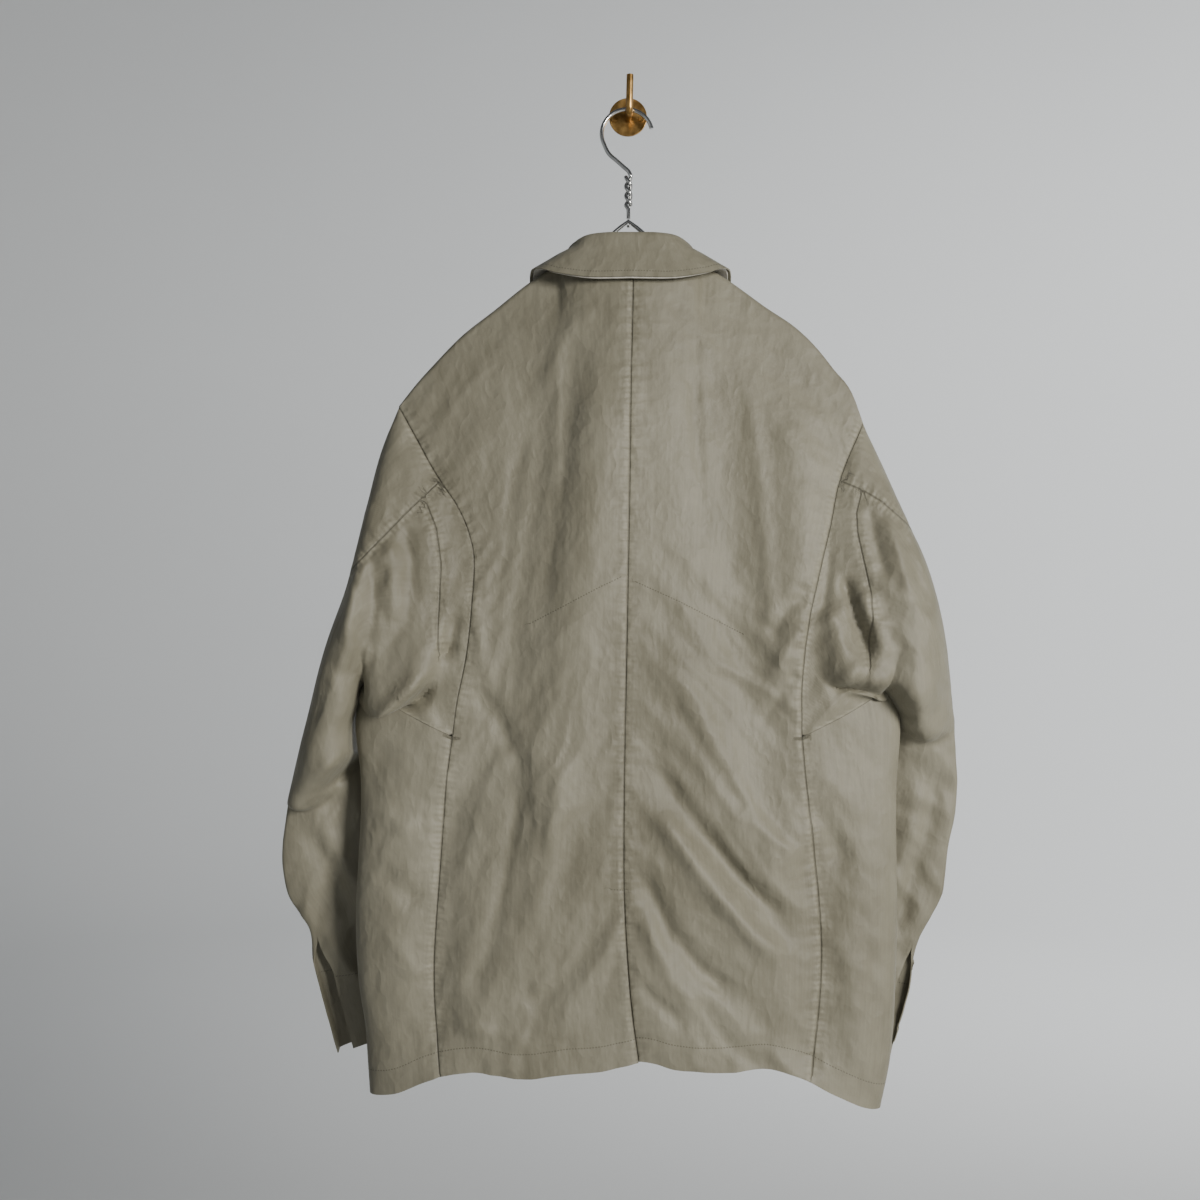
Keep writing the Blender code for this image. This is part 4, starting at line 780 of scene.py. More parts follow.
def sleeve_rings(side):
    """Returns the function of a ring of the sleeve at shares of its girth, and the outer length."""
    table = np.array(SLEEVE[side], float)
    lengths = np.r_[0, np.cumsum(np.hypot(*np.diff(table[:, :2], axis=0).T))]
    section_at = table_curve(np.column_stack([lengths / lengths[-1], table]))
    loop, share = armhole_loop(panels, side)
    loop, share = np.vstack([loop, loop[:1]]), np.r_[share, 1.0]
    seams = [CAP_SEAM[side], BACK_SLEEVE_SEAM[side]]

    def at(along, girth):
        x0, drop0, y0, x1, drop1, y1, back_depth, front_depth = section_at(along)
        half_width = max(math.hypot(x0 - x1, drop0 - drop1) / 2, 1.0)
        girth = girth % 1.0
        on_back = girth < 0.5
        place = np.where(on_back, 2 * girth, 2 - 2 * girth)
        halves = [half_section(half_width, depth) for depth in (back_depth, front_depth)]
        across = np.where(on_back, *(np.interp(place, shares, width) for shares, width, _ in halves))
        out = np.where(on_back, *(np.interp(place, shares, depth) for shares, _, depth in halves))
        x, drop = mix(x0, x1, across), mix(drop0, drop1, across)
        y = mix(y0, y1, across) + np.where(on_back, -back_depth, front_depth) * out
        spread = out * float(ramp(along, 0.05, 0.2))
        y = y - np.where(on_back, spread * fold_height(SLEEVE_FOLDS, x, drop), 0)
        weight = 1 - (1 - min(along / ARM_BLEND, 1)) ** 2
        start = np.stack([np.interp(girth, share, loop[:, i]) for i in range(3)], axis=-1)
        ring = mix(start, np.stack([x, np.minimum(y, WALL_CLEAR), -drop], axis=-1), weight)
        x, drop = ring[:, 0], -ring[:, 2]
        off, run = nearest_line(seams, x, drop)
        off = np.where(on_back, off, nearest_line(seams[:1], x, drop)[0])
        free = ramp(along, 0.0, 0.03)
        fade = free * ramp(0.5 - np.abs(girth - 0.5), 0.0, 0.03) * ramp(np.abs(girth - 0.5), 0.0, 0.06)
        rise = np.where(on_back, fold_height(SMALL_SLEEVE_FOLDS, x, drop), 0) * fade
        rise = rise - seam_relief(off, run) * fade
        rise = rise + SLEEVE_RUMPLE * free * rumple(x, drop, "back" if side == "left" else "front")
        ring[:, 1] = np.minimum(ring[:, 1] + np.where(on_back, -rise, 0.6 * rise), WALL_CLEAR)
        places, half_width, shift = SLEEVE_ROLLS[side]
        off, _ = nearest_line([places], x, drop)
        pull = np.exp(-((off / half_width) ** 2)) * np.where(on_back, 1.0, ROLL_FAR_SHARE)
        pull = pull * ramp(along, 0.0, 0.06)
        return ring + pull[:, None] * np.array([shift[0], -shift[2], -shift[1]])

    return at, lengths[-1]


rings = {side: sleeve_rings(side) for side in SIGN}
print("sleeve lengths:", {side: round(float(rings[side][1])) for side in SIGN})

# %% sleeve and cuff grids
SLEEVE_COLUMNS, SLEEVE_RINGS, CUFF_RINGS = 150, 165, 20


def sleeve_grid(side, from_along, to_along, count):
    """Rings that start and end at the sleeve's back seam, which opens into the slit."""
    at, length = rings[side]
    slit, cuff = SLIT_START[side] / length, CUFF_START[side] / length
    grid = []
    for along in np.linspace(from_along, to_along, count):
        opened = float(ramp(along, slit, cuff))
        first = BACK_SEAM_LOW + SLIT_NEAR * opened
        last = 1 + BACK_SEAM_LOW - SLIT_FAR * opened
        grid.append(at(along, np.linspace(first, last, SLEEVE_COLUMNS)))
    return np.array(grid)


for side in SIGN:
    cuff = CUFF_START[side] / rings[side][1]
    panels["sleeve_" + side] = sleeve_grid(side, 0.0, cuff, SLEEVE_RINGS)
    panels["cuff_" + side] = sleeve_grid(side, cuff, 1.0, CUFF_RINGS)
    print("sleeve", side, panels["sleeve_" + side].shape)

# %% [markdown]
# ## Collar
# 
# The collar is one piece of cloth that stands up from the neckline, turns over a fold and falls to its
# edge. A few rows are placed by the table and a smooth curve is laid through them.

# %% collar table
# Right half, from the centre back (turn 0) to the centre front (turn 1). Columns: turn, then x from the
# neck's centre, y and drop of the fold line, then the same of the fall's lower edge
COLLAR = [
    (0.00, 0, -55, 130.5, 0, -68, 174.5),
    (0.15, 26, -53.5, 130.5, 42, -66.5, 174.5),
    (0.28, 43, -49, 132, 72, -60, 169),
    (0.40, 54, -41, 136, 89, -48, 162.5),
    (0.50, 59.5, -28, 139, 97.5, -29.5, 162),
    (0.56, 60, -20, 145.5, 99, -19.5, 170),
    (0.64, 58, -18.2, 157, 97, -14.8, 189),
    (0.76, 47, -18.2, 182, 83, -14.3, 224),
    (0.88, 27, -18.5, 208, 60, -14.3, 254),
    (1.00, 3, -18.5, 228, 13, -15.5, 250),
]
COLLAR_CLOTH = 1.3
COLLAR_FOLD = 1.4      # half the space inside the turned fold
COLLAR_END = 0.985     # the collar stops a little before the centre front
UNDER_PEEP = 5.0       # the under collar reaches this far below its tucked ends at the centre back
UNDER_TUCK = 4.0       # its ends lie this far inside the fall's edge
UNDER_GAP = 0.5        # between the fall and the under collar
NECK_GAP = 0.15        # beyond the seam allowance, between the stand and the neckline
COLLAR_STITCH = 6.0    # the topstitch is this far inside the fall's edge
COLLAR_RUMPLE = 0.22
print("rows of the collar table:", len(COLLAR))

# %% collar pieces
COLLAR_COLUMNS = 181


def neckline(panels, sign, layer, x):
    """The place on a panel's cut neckline at x."""
    side = "right" if sign > 0 else "left"
    row = panels[layer + "_" + side][0, :len(NECK_COLUMNS)]
    order = np.argsort(row[:, 0])
    return np.array([np.interp(x, row[order, 0], row[order, i]) for i in range(3)])


def collar_pieces(panels):
    """Point grids of the collar's inner face and of the under collar."""
    half_at = table_curve(COLLAR)
    grid = []
    peeps = []
    for turn in np.linspace(-COLLAR_END, COLLAR_END, COLLAR_COLUMNS):
        sign = -1 if turn < 0 else 1
        fold_x, fold_y, fold_drop, edge_x, edge_y, edge_drop = half_at(abs(turn))
        fold = np.array([NECK_X + sign * fold_x, fold_y, -fold_drop])
        edge = np.array([NECK_X + sign * edge_x, edge_y, -edge_drop])
        layer = "back" if abs(turn) <= 0.5 else "front"
        base = neckline(panels, sign, layer, NECK_X + sign * NECK_HALF * math.sin(math.pi * abs(turn)))
        dip = NECK_BACK_DIP if layer == "back" else NECK_FRONT_DIP
        inward = np.array([(NECK_X - base[0]) / NECK_HALF ** 2, 0,
                           (-base[2] - NECK_SIDE_DROP) / dip ** 2])
        base += inward / np.linalg.norm(inward) * NECK_GAP
        away = np.array([sign * math.sin(math.pi * abs(turn)), -math.cos(math.pi * turn), 0])
        inside = fold - away * COLLAR_FOLD
        outside = fold + away * COLLAR_FOLD
        down = np.array([0, 0, -1.0])
        under_fold = inside + down * 2.5
        rows = [base, mix(base, under_fold, 0.5), under_fold, fold + np.array([0, 0, 0.8]),
                outside + down * 2.2]
        for f in (0.35, 0.7, 1.0):
            rows.append(mix(outside + down * 2.2, edge, f))
        grid.append(rows)
        peeps.append(UNDER_PEEP * math.cos(turn * math.pi / 2) ** 4 - UNDER_TUCK)
    collar = np.transpose(np.array(grid), (1, 0, 2))
    along, across = np.gradient(collar, axis=1), np.gradient(collar, axis=0)
    below = np.cross(along, across)
    below /= np.linalg.norm(below, axis=-1, keepdims=True)
    under = (collar + below * UNDER_GAP)[-3:]
    down = under[-1] - under[-2]
    down /= np.linalg.norm(down, axis=-1, keepdims=True)
    under[-1] += down * np.array(peeps)[:, None]
    return collar, under


def smooth_rows(grid, count):
    """More rows through the rows of a grid, evenly spaced along its middle column."""
    middle = grid[:, grid.shape[1] // 2]
    run = np.r_[0, np.cumsum(np.linalg.norm(np.diff(middle, axis=0), axis=1))]
    curve = table_curve(np.column_stack([run, grid.reshape(len(grid), -1)]))
    return curve(np.linspace(0, run[-1], count)).reshape(count, grid.shape[1], 3)


collar, under_collar = collar_pieces(panels)
panels["collar"], panels["under_collar"] = smooth_rows(collar, 40), smooth_rows(under_collar, 16)
fall = np.linspace(0, 1, 40)[:, None]
x, drop = panels["collar"][..., 0], -panels["collar"][..., 2]
panels["collar"][..., 1] -= COLLAR_RUMPLE * rumple(x, drop, "back") * ramp(fall, 0.5, 0.8)
print("collar:", panels["collar"].shape)

# %% [markdown]
# ## From points to cloth
# 
# A grid primitive gets one of the point grids, and Solidify gives it the cloth's thickness. Two UV
# coordinates in metres follow the cloth, so that the weave has one size everywhere.

# %% start a clean selection
def choose(piece=None):
    """Leaves one object selected and active, or none."""
    bpy.ops.object.select_all(action="DESELECT")
    if piece is not None:
        piece.select_set(True)
        bpy.context.view_layer.objects.active = piece


choose()
print("selected:", len(bpy.context.selected_objects))

# %% a sheet from a point grid
CLOTH = 1.25
LEVEL_STEP = 20.0      # height of the band in which a sleeve's level section is measured


def keep_field(mesh, name, values):
    field = mesh.attributes.new(name, "FLOAT", "POINT")
    field.data.foreach_set("value", np.ravel(values).astype(np.float32))


def stitch_lines(name, points):
    """Distance to the nearest row of stitches and the place along it."""
    x, drop = points[..., 0], -points[..., 2]
    far = np.full(x.shape, FIELD_REACH)
    if name in ("collar", "under_collar"):
        steps = np.linalg.norm(np.diff(points, axis=0), axis=2)
        from_edge = np.r_[np.cumsum(steps[::-1], axis=0)[::-1], np.zeros((1, x.shape[1]))]
        if name == "under_collar":
            return far, x * 1.0
        return np.clip(from_edge - COLLAR_STITCH, -FIELD_REACH, FIELD_REACH), x * 1.0
    if name.startswith("cuff"):
        steps = np.linalg.norm(np.diff(points, axis=0), axis=2)
        from_top = np.r_[np.zeros((1, x.shape[1])), np.cumsum(steps, axis=0)]
        return np.clip(from_top - 2.0, -FIELD_REACH, FIELD_REACH), x + drop
    if name.startswith("sleeve"):
        return far, x * 1.0
    layer = "front" if name.startswith("front") else "back"
    hem = np.clip(hem_at[layer](x) - HEM_STITCH - drop, -FIELD_REACH, FIELD_REACH)
    if layer == "front":
        return hem, x * 1.0
    yoke, along = nearest_line(ROWS_OF_STITCHES, x, drop)
    nearer = np.abs(yoke) < np.abs(hem)
    return np.where(nearer, yoke, hem), np.where(nearer, along, x)


def seam_lines(name, points):
    """Distance to the nearest seam and the place along it."""
    x, drop = points[..., 0], -points[..., 2]
    lines = SEAMS
    if name.startswith(("sleeve", "cuff")):
        side = name.split("_")[1]
        lines = [CAP_SEAM[side], BACK_SLEEVE_SEAM[side]]
    if name == "back_right" or name.startswith("side") or name == "back_left" or lines is not SEAMS:
        off, run = nearest_line(lines, x, drop)
    elif name.startswith("front"):
        off, run = nearest_line(SEAMS[1:], x, drop)
    else:
        return np.full(x.shape, FIELD_REACH), x * 1.0
    if name.startswith(("sleeve", "cuff")):
        on_back = np.arange(x.shape[1]) < x.shape[1] / 2
        cap_off, cap_run = nearest_line(lines[:1], x, drop)
        off, run = np.where(on_back, off, cap_off), np.where(on_back, run, cap_run)
    if name.startswith("sleeve"):
        steps = np.linalg.norm(np.diff(points, axis=0), axis=2)
        from_top = np.r_[np.zeros((1, x.shape[1])), np.cumsum(steps, axis=0)]
        nearer = from_top < np.abs(off)
        off, run = np.where(nearer, from_top, off), np.where(nearer, drop, run)
    return off, run


def add_sheet(name, points, flip, thickness=CLOTH):
    """A sheet of cloth whose outer face has these points, with its thickness on the inside."""
    rows, columns = points.shape[:2]
    choose()
    bpy.ops.mesh.primitive_grid_add(x_subdivisions=columns - 1, y_subdivisions=rows - 1, size=1)
    piece = bpy.context.object
    piece.name = piece.data.name = "sewn_" + name
    mesh = piece.data
    ordered = points[:, ::-1] if flip else points
    mesh.vertices.foreach_set("co", np.ravel(ordered * MM))
    turned = slice(None, None, -1 if flip else 1)
    off, run = (field[:, turned] for field in seam_lines(name, points))
    keep_field(mesh, "seam_off", off)
    keep_field(mesh, "seam_run", run)
    keep_field(mesh, "seam_far", np.abs(off))
    off, run = stitch_lines(name, ordered)
    keep_field(mesh, "stitch_off", off)
    keep_field(mesh, "stitch_run", run)
    keep_field(mesh, "stitch_far", np.abs(off))
    wide = np.linalg.norm(np.diff(ordered, axis=1), axis=2).mean(axis=0)
    tall = np.linalg.norm(np.diff(ordered, axis=0), axis=2).mean(axis=1)
    u, v = np.meshgrid(np.r_[0, np.cumsum(wide)] * MM, -np.r_[0, np.cumsum(tall)] * MM)
    corners = np.zeros(len(mesh.loops), int)
    mesh.loops.foreach_get("vertex_index", corners)
    flat = np.column_stack([np.ravel(u)[corners], np.ravel(v)[corners]])
    mesh.uv_layers.active.data.foreach_set("uv", np.ravel(flat))
    mesh.update()
    wall = piece.modifiers.new("thickness", "SOLIDIFY")
    wall.thickness = thickness * MM
    wall.offset = -1
    wall.use_even_offset = False
    bpy.ops.object.modifier_apply(modifier=wall.name)
    bpy.ops.object.shade_smooth_by_angle(angle=math.radians(55))
    piece["cut_width"] = float(np.linalg.norm(np.diff(points, axis=1), axis=2).sum(axis=1).max()) * MM
    piece["cut_length"] = float(np.linalg.norm(np.diff(points, axis=0), axis=2).sum(axis=0).max()) * MM
    across = np.cross(points[1:, 1:] - points[:-1, :-1], points[1:, :-1] - points[:-1, 1:])
    cell_area = np.linalg.norm(across, axis=2) / 2
    piece["cut_area"] = float(cell_area.sum()) * MM * MM
    if name.startswith("sleeve"):
        # the armhole's edge is a long curve, so the cut is as wide as the widest level section
        levels = -(points[1:, 1:, 2] + points[:-1, :-1, 2]) / 2
        bins = np.arange(levels.min(), levels.max(), LEVEL_STEP)
        held, _ = np.histogram(levels, bins, weights=cell_area)
        piece["cut_width"] = float(held.max() / LEVEL_STEP) * MM
    return piece


print("a sheet is", CLOTH, "mm thick")

# %% all the cloth pieces
STANDS_FOR = {
    "back_left": ["back_left"], "back_right": ["back_right"],
    "front_left": ["front_left"], "front_right": ["front_right"],
    "side_left": ["side_left"], "side_right": ["side_right"],
    "sleeve_left": ["sleeve_cap_left", "sleeve_outer_left", "sleeve_under_left"],
    "sleeve_right": ["sleeve_cap_right", "sleeve_outer_right", "sleeve_under_right"],
    "cuff_left": ["cuff_left"], "cuff_right": ["cuff_right"],
    "collar": ["collar"], "under_collar": ["under_collar"],
}


def grid_normals(points):
    """Directions across a grid, from its columns' direction towards its rows'."""
    normals = np.cross(np.gradient(points, axis=1), np.gradient(points, axis=0))
    return normals / np.maximum(np.linalg.norm(normals, axis=-1, keepdims=True), 1e-9)


def outside_of(name, points):
    """Rough directions away from the body for each point of a piece."""
    kind = name.split("_")[0]
    if kind in ("sleeve", "cuff"):
        return points - points.mean(axis=1, keepdims=True)
    side = SIGN.get(name.split("_")[-1], 1.0)
    away = {"back": (0, -1, 0), "front": (0, 1, 0), "side": (side, 0, 0)}
    return np.broadcast_to(away[kind], points.shape)


cloth = {}
for name, nodes in STANDS_FOR.items():
    points = panels[name]
    normals = grid_normals(points)
    if name == "collar":
        points, turned = points - normals * COLLAR_CLOTH, True
    elif name == "under_collar":
        points, turned = points + normals * CLOTH, False
    else:
        turned = float((normals * outside_of(name, points)).sum()) < 0
    piece = add_sheet(name, points, turned)
    cloth[name] = piece
    print(name, "triangles:", sum(len(face.vertices) - 2 for face in piece.data.polygons))

# %% [markdown]
# The vent's underlap is a strip that goes on from the right half, under the left one.

# %% the vent's underlap
edge = panels["back_right"][VENT_ROW + 8:, 0]
share = np.linspace(1, 0, 12)[None, :, None]
lap = edge[:, None] - np.array([1.0, 0, 0]) * VENT_LAP * share - np.array([0, 0, 1.0]) * 1.5 * share
lap_y = layer_y(lap[..., 0], -lap[..., 2], "back") + VENT_DEPTH + 0.5
lap[..., 1] = mix(edge[:, None, 1], lap_y, np.minimum(share[..., 0] * 4, 1))
cloth["vent_underlap"] = add_sheet("vent_underlap", lap, float(grid_normals(lap)[..., 1].sum()) > 0)
STANDS_FOR["vent_underlap"] = ["back_right"]
print("underlap rows:", len(lap))

# %% [markdown]
# ## Wire hanger
# 
# A wire is a curve with a round bevel. Extra places are put between the few that steer it, on a smooth
# curve, so that no corners show. The curve is made a mesh in the end.

# %% hanger sizes
WIRE = 4.1             # the hanger's wire
HOOK_RADIUS = 25.0
HOOK_X = -1.3
HOOK_FROM, HOOK_TO = 12.0, 205.0  # degrees round the hook's circle, from its tip
TWIST_TOP, TWIST_BOTTOM = 65.0, 94.0
TWIST_RADIUS = 2.3
TWIST_TURNS = 1.5
SHANK_END = 107.4
APEX_DROP = 109.0
ARM_X = 171.0          # where the triangle's arms end
ARM_STEEP = 0.86       # slope of the arms near the apex
ARM_BEND_X = 76.0      # beyond this they are flatter
ARM_CLEAR = 6.8        # below the shoulder line there
TIP_ROUND = 12.0
APEX_BLUNT = 0.8       # the wire turns a little below the arms' meeting point
STUD_RADIUS = 1.8
STUD_CLEAR = 3.0       # from the wire's centre line to the stud
ROSETTE_RADIUS, ROSETTE_THICK, ROSETTE_BEVEL = 19.0, 3.0, 0.5
PEG_WIRE = 6.9
PEG_DROP = 2.0
PEG_REACH = 23.6       # from the rosette's back to the upturned end's centre
PEG_TOP = 34.5
PEG_BEND = 6.0
SCREW_X, SCREW_RADIUS, SCREW_THICK = 13.4, 3.1, 1.4
METAL_GAP = 0.3
print("wire:", WIRE, "mm")

# %% a smooth round wire
def smooth_route(places, steps, closed=False):
    """Evenly spread places on a smooth curve through the given ones."""
    places = np.array(places, float)
    if closed:
        places = np.vstack([places[-3:], places, places[:3]])
    run = np.r_[0, np.cumsum(np.linalg.norm(np.diff(places, axis=0), axis=1))]
    curve = table_curve(np.column_stack([run, places]))
    low, high = (run[3], run[-3]) if closed else (run[0], run[-1])
    return curve(np.linspace(low, high, steps + 1)[:-1] if closed else np.linspace(low, high, steps))


def add_wire(name, places, diameter, closed=False):
    """A round wire, closed at its ends by caps."""
    choose()
    bpy.ops.curve.primitive_bezier_curve_add()
    wire = bpy.context.object
    wire.name = name
    curve = wire.data
    curve.splines.clear()
    curve.dimensions = "3D"
    curve.bevel_depth = diameter / 2 * MM
    curve.bevel_resolution = 5
    curve.use_fill_caps = not closed
    spline = curve.splines.new("POLY")
    spline.points.add(len(places) - 1)
    spots = np.column_stack([np.array(places) * MM, np.ones(len(places))])
    spline.points.foreach_set("co", np.ravel(spots))
    spline.use_cyclic_u = closed
    bpy.ops.object.convert(target="MESH")
    bpy.ops.object.mode_set(mode="EDIT")
    bpy.ops.mesh.select_all(action="SELECT")
    bpy.ops.mesh.remove_doubles(threshold=0.00001)
    bpy.ops.mesh.normals_make_consistent(inside=False)
    bpy.ops.object.mode_set(mode="OBJECT")
    bpy.ops.object.shade_smooth_by_angle(angle=math.radians(50))
    print(name, "faces:", len(wire.data.polygons))
    return wire


print("wires are ready to be drawn")

# %% routes of the hanger
def hanger_y(drop):
    return HANGER_Y - HANGER_LEAN * drop


def arc(centre, radius, start, end, steps):
    """Places x, drop on a circle; angles in degrees, 0 at +X and 90 straight up."""
    return [(centre[0] + radius * math.cos(math.radians(a)),
             centre[1] - radius * math.sin(math.radians(a))) for a in np.linspace(start, end, steps)]


def in_hanger_plane(places):
    return [(x, hanger_y(drop), -drop) for x, drop in places]


def twist_strand(phase):
    """One strand of the twisted shank, turning about the vertical at x = 0."""
    places = []
    for f in np.linspace(0, 1, 48):
        drop = mix(TWIST_TOP, TWIST_BOTTOM, f)
        angle = phase + 2 * math.pi * TWIST_TURNS * f
        places.append((TWIST_RADIUS * math.cos(angle),
                       hanger_y(drop) + TWIST_RADIUS * math.sin(angle), -drop))
    return places


print("hanger plane at the bar:", round(hanger_y(262.0), 1))

# %% hook, twist and triangle
metal = {}
hook_drop = PEG_DROP - PEG_WIRE / 2 - METAL_GAP - WIRE / 2 + HOOK_RADIUS
hook = arc((HOOK_X, hook_drop), HOOK_RADIUS, HOOK_FROM, HOOK_TO, 22)
neck = [(-19.5, 41.0), (-11.0, 49.0), (-5.0, 54.5), (0.6, 60.0)]
strand = twist_strand(0.0)
shank = [(0, hanger_y(drop), -drop) for drop in (TWIST_BOTTOM + 3.5, SHANK_END)]
top = smooth_route(in_hanger_plane(hook + neck) + strand[:2], 90)
metal["wire_hook"] = add_wire("wire_hook", list(top[:-1]) + strand[1:] + shank, WIRE)
metal["wire_twist"] = add_wire("wire_twist", twist_strand(math.pi), WIRE - 0.1)
places = []
for side in ("right", "left"):
    sign = SIGN[side]
    tip_drop = float(shoulder_at[side](np.array(ARM_X))) + ARM_CLEAR
    bend_drop = APEX_DROP + ARM_STEEP * ARM_BEND_X
    slope = (tip_drop - bend_drop) / (ARM_X - ARM_BEND_X)
    arm = [(x, APEX_DROP + ARM_STEEP * x) for x in (8, 40, ARM_BEND_X - 8)]
    arm += [(x, bend_drop + slope * (x - ARM_BEND_X)) for x in (ARM_BEND_X + 8, 130)]
    lean = math.atan(slope)
    centre = (ARM_X - TIP_ROUND * math.sin(lean), tip_drop + TIP_ROUND * math.cos(lean))
    turn = arc(centre, TIP_ROUND, 90 - math.degrees(lean), -90, 9)
    places.append([(sign * x, drop) for x, drop in arm + turn])
bar = [(x, mix(places[0][-1][1], places[1][-1][1], (ARM_X - x) / (2 * ARM_X)))
       for x in (120, 60, 0, -60, -120)]
outline = [(0, APEX_DROP + APEX_BLUNT)] + places[0] + bar + places[1][::-1]
metal["wire_frame"] = add_wire("wire_frame", in_hanger_plane(outline), WIRE, closed=True)

choose()
drop = APEX_DROP + APEX_BLUNT + STUD_CLEAR + STUD_RADIUS
bpy.ops.mesh.primitive_uv_sphere_add(segments=24, ring_count=16, radius=STUD_RADIUS * MM,
                                     location=(0, hanger_y(drop) * MM, -drop * MM))
metal["wire_end"] = bpy.context.object
metal["wire_end"].name = "wire_end"
bpy.ops.transform.resize(value=(1, 1, 0.92))
bpy.ops.object.transform_apply(location=True, rotation=True, scale=True)
bpy.ops.object.shade_smooth()
print("hanger pieces:", sorted(metal))

# %% [markdown]
# ## Brass wall hook
# 
# The rosette is a turned disc with a worn edge, held by two countersunk slotted screws. A peg of round
# rod comes out of its middle and turns up. Cylinders are the start; inset and bevel give the rims.

# %% faces, rounded edges and cuts
def choose_faces(piece, facing):
    """Goes into edit mode with the faces chosen that look along +Y (facing 1) or -Y (facing -1)."""
    bpy.ops.object.mode_set(mode="EDIT")
    bpy.ops.mesh.select_mode(type="FACE")
    bpy.ops.mesh.select_all(action="DESELECT")
    bpy.ops.object.mode_set(mode="OBJECT")
    for face in piece.data.polygons:
        face.select = facing * face.normal.y > 0.9
    bpy.ops.object.mode_set(mode="EDIT")


def round_edges(piece, width, segments, angle):
    """Rounds the edges that are sharper than an angle in degrees."""
    edge = piece.modifiers.new("round edge", "BEVEL")
    edge.width = width * MM
    edge.segments = segments
    edge.limit_method = "ANGLE"
    edge.angle_limit = math.radians(angle)
    bpy.ops.object.modifier_apply(modifier=edge.name)


def cut_away(piece, tool):
    """Takes a tool's form out of a piece and removes the tool."""
    choose(piece)
    cut = piece.modifiers.new("cut", "BOOLEAN")
    cut.object = tool
    cut.operation = "DIFFERENCE"
    bpy.ops.object.modifier_apply(modifier=cut.name)
    bpy.data.objects.remove(tool)


print("faces can be chosen, rounded and cut")

# %% a disc that faces -Y
def add_disc(name, centre, radius, thick, bevel, segments, rim, dish):
    """A disc whose axis is Y, with a bevelled edge and a face that is set in a little inside its rim."""
    choose()
    x, y, z = (value * MM for value in centre)
    bpy.ops.mesh.primitive_cylinder_add(vertices=segments, radius=radius * MM, depth=thick * MM,
                                        location=(x, y - thick / 2 * MM, z),
                                        rotation=(math.radians(90), 0, 0))
    disc = bpy.context.object
    disc.name = disc.data.name = name
    bpy.ops.object.transform_apply(location=True, rotation=True, scale=True)
    choose_faces(disc, -1)
    bpy.ops.mesh.inset(thickness=rim * MM)
    bpy.ops.transform.translate(value=(0, dish * MM, 0))
    bpy.ops.mesh.inset(thickness=rim * MM)
    bpy.ops.object.mode_set(mode="OBJECT")
    round_edges(disc, bevel, 4, 50)
    bpy.ops.object.shade_smooth_by_angle(angle=math.radians(40))
    print(name, "faces:", len(disc.data.polygons))
    return disc


print("discs are ready to be turned")

# %% rosette, peg and screws
metal["brass_rosette"] = add_disc("brass_rosette", (0, 0, 0), ROSETTE_RADIUS, ROSETTE_THICK,
                                  ROSETTE_BEVEL, 96, 1.2, 0.12)
bend = [(PEG_BEND * math.sin(a), PEG_BEND * (1 - math.cos(a)))
        for a in np.linspace(0, math.pi / 2, 7)]
start = ROSETTE_THICK + METAL_GAP
straight = PEG_REACH - PEG_BEND
places = [(0, -start, -PEG_DROP), (0.2, -(start + straight) / 2, -PEG_DROP)]
places += [(1.0, -(straight + out), -PEG_DROP + up) for out, up in bend]
places.append((1.6, -PEG_REACH, PEG_TOP))

metal["brass_peg"] = add_wire("brass_peg", smooth_route(places, 60), PEG_WIRE)
for side in SIGN:
    name = "brass_screw_" + side
    metal[name] = add_disc(name, (SIGN[side] * SCREW_X, -ROSETTE_THICK - METAL_GAP, -PEG_DROP),
                           SCREW_RADIUS, SCREW_THICK, 0.35, 40, 0.4, 0.05)

# %% [markdown]
# A slot is cut across each screw's head with a thin block.

# %% slots of the screws
SLOT_WIDE, SLOT_DEEP = 0.8, 0.7
for side, lean in (("left", 35), ("right", -50)):
    screw = metal["brass_screw_" + side]
    choose()
    front = -ROSETTE_THICK - METAL_GAP - SCREW_THICK
    spot = (SIGN[side] * SCREW_X * MM, front * MM, -PEG_DROP * MM)
    bpy.ops.mesh.primitive_cube_add(size=1, location=spot, rotation=(0, math.radians(lean), 0),
                                    scale=(3 * SCREW_RADIUS * MM, 2 * SLOT_DEEP * MM, SLOT_WIDE * MM))
    cut_away(screw, bpy.context.object)
    bpy.ops.object.shade_smooth_by_angle(angle=math.radians(35))
    print("slotted", screw.name)

# %% [markdown]
# ## Buttons
# 
# Five dished buttons with four holes close the front. The thread crosses between the holes.

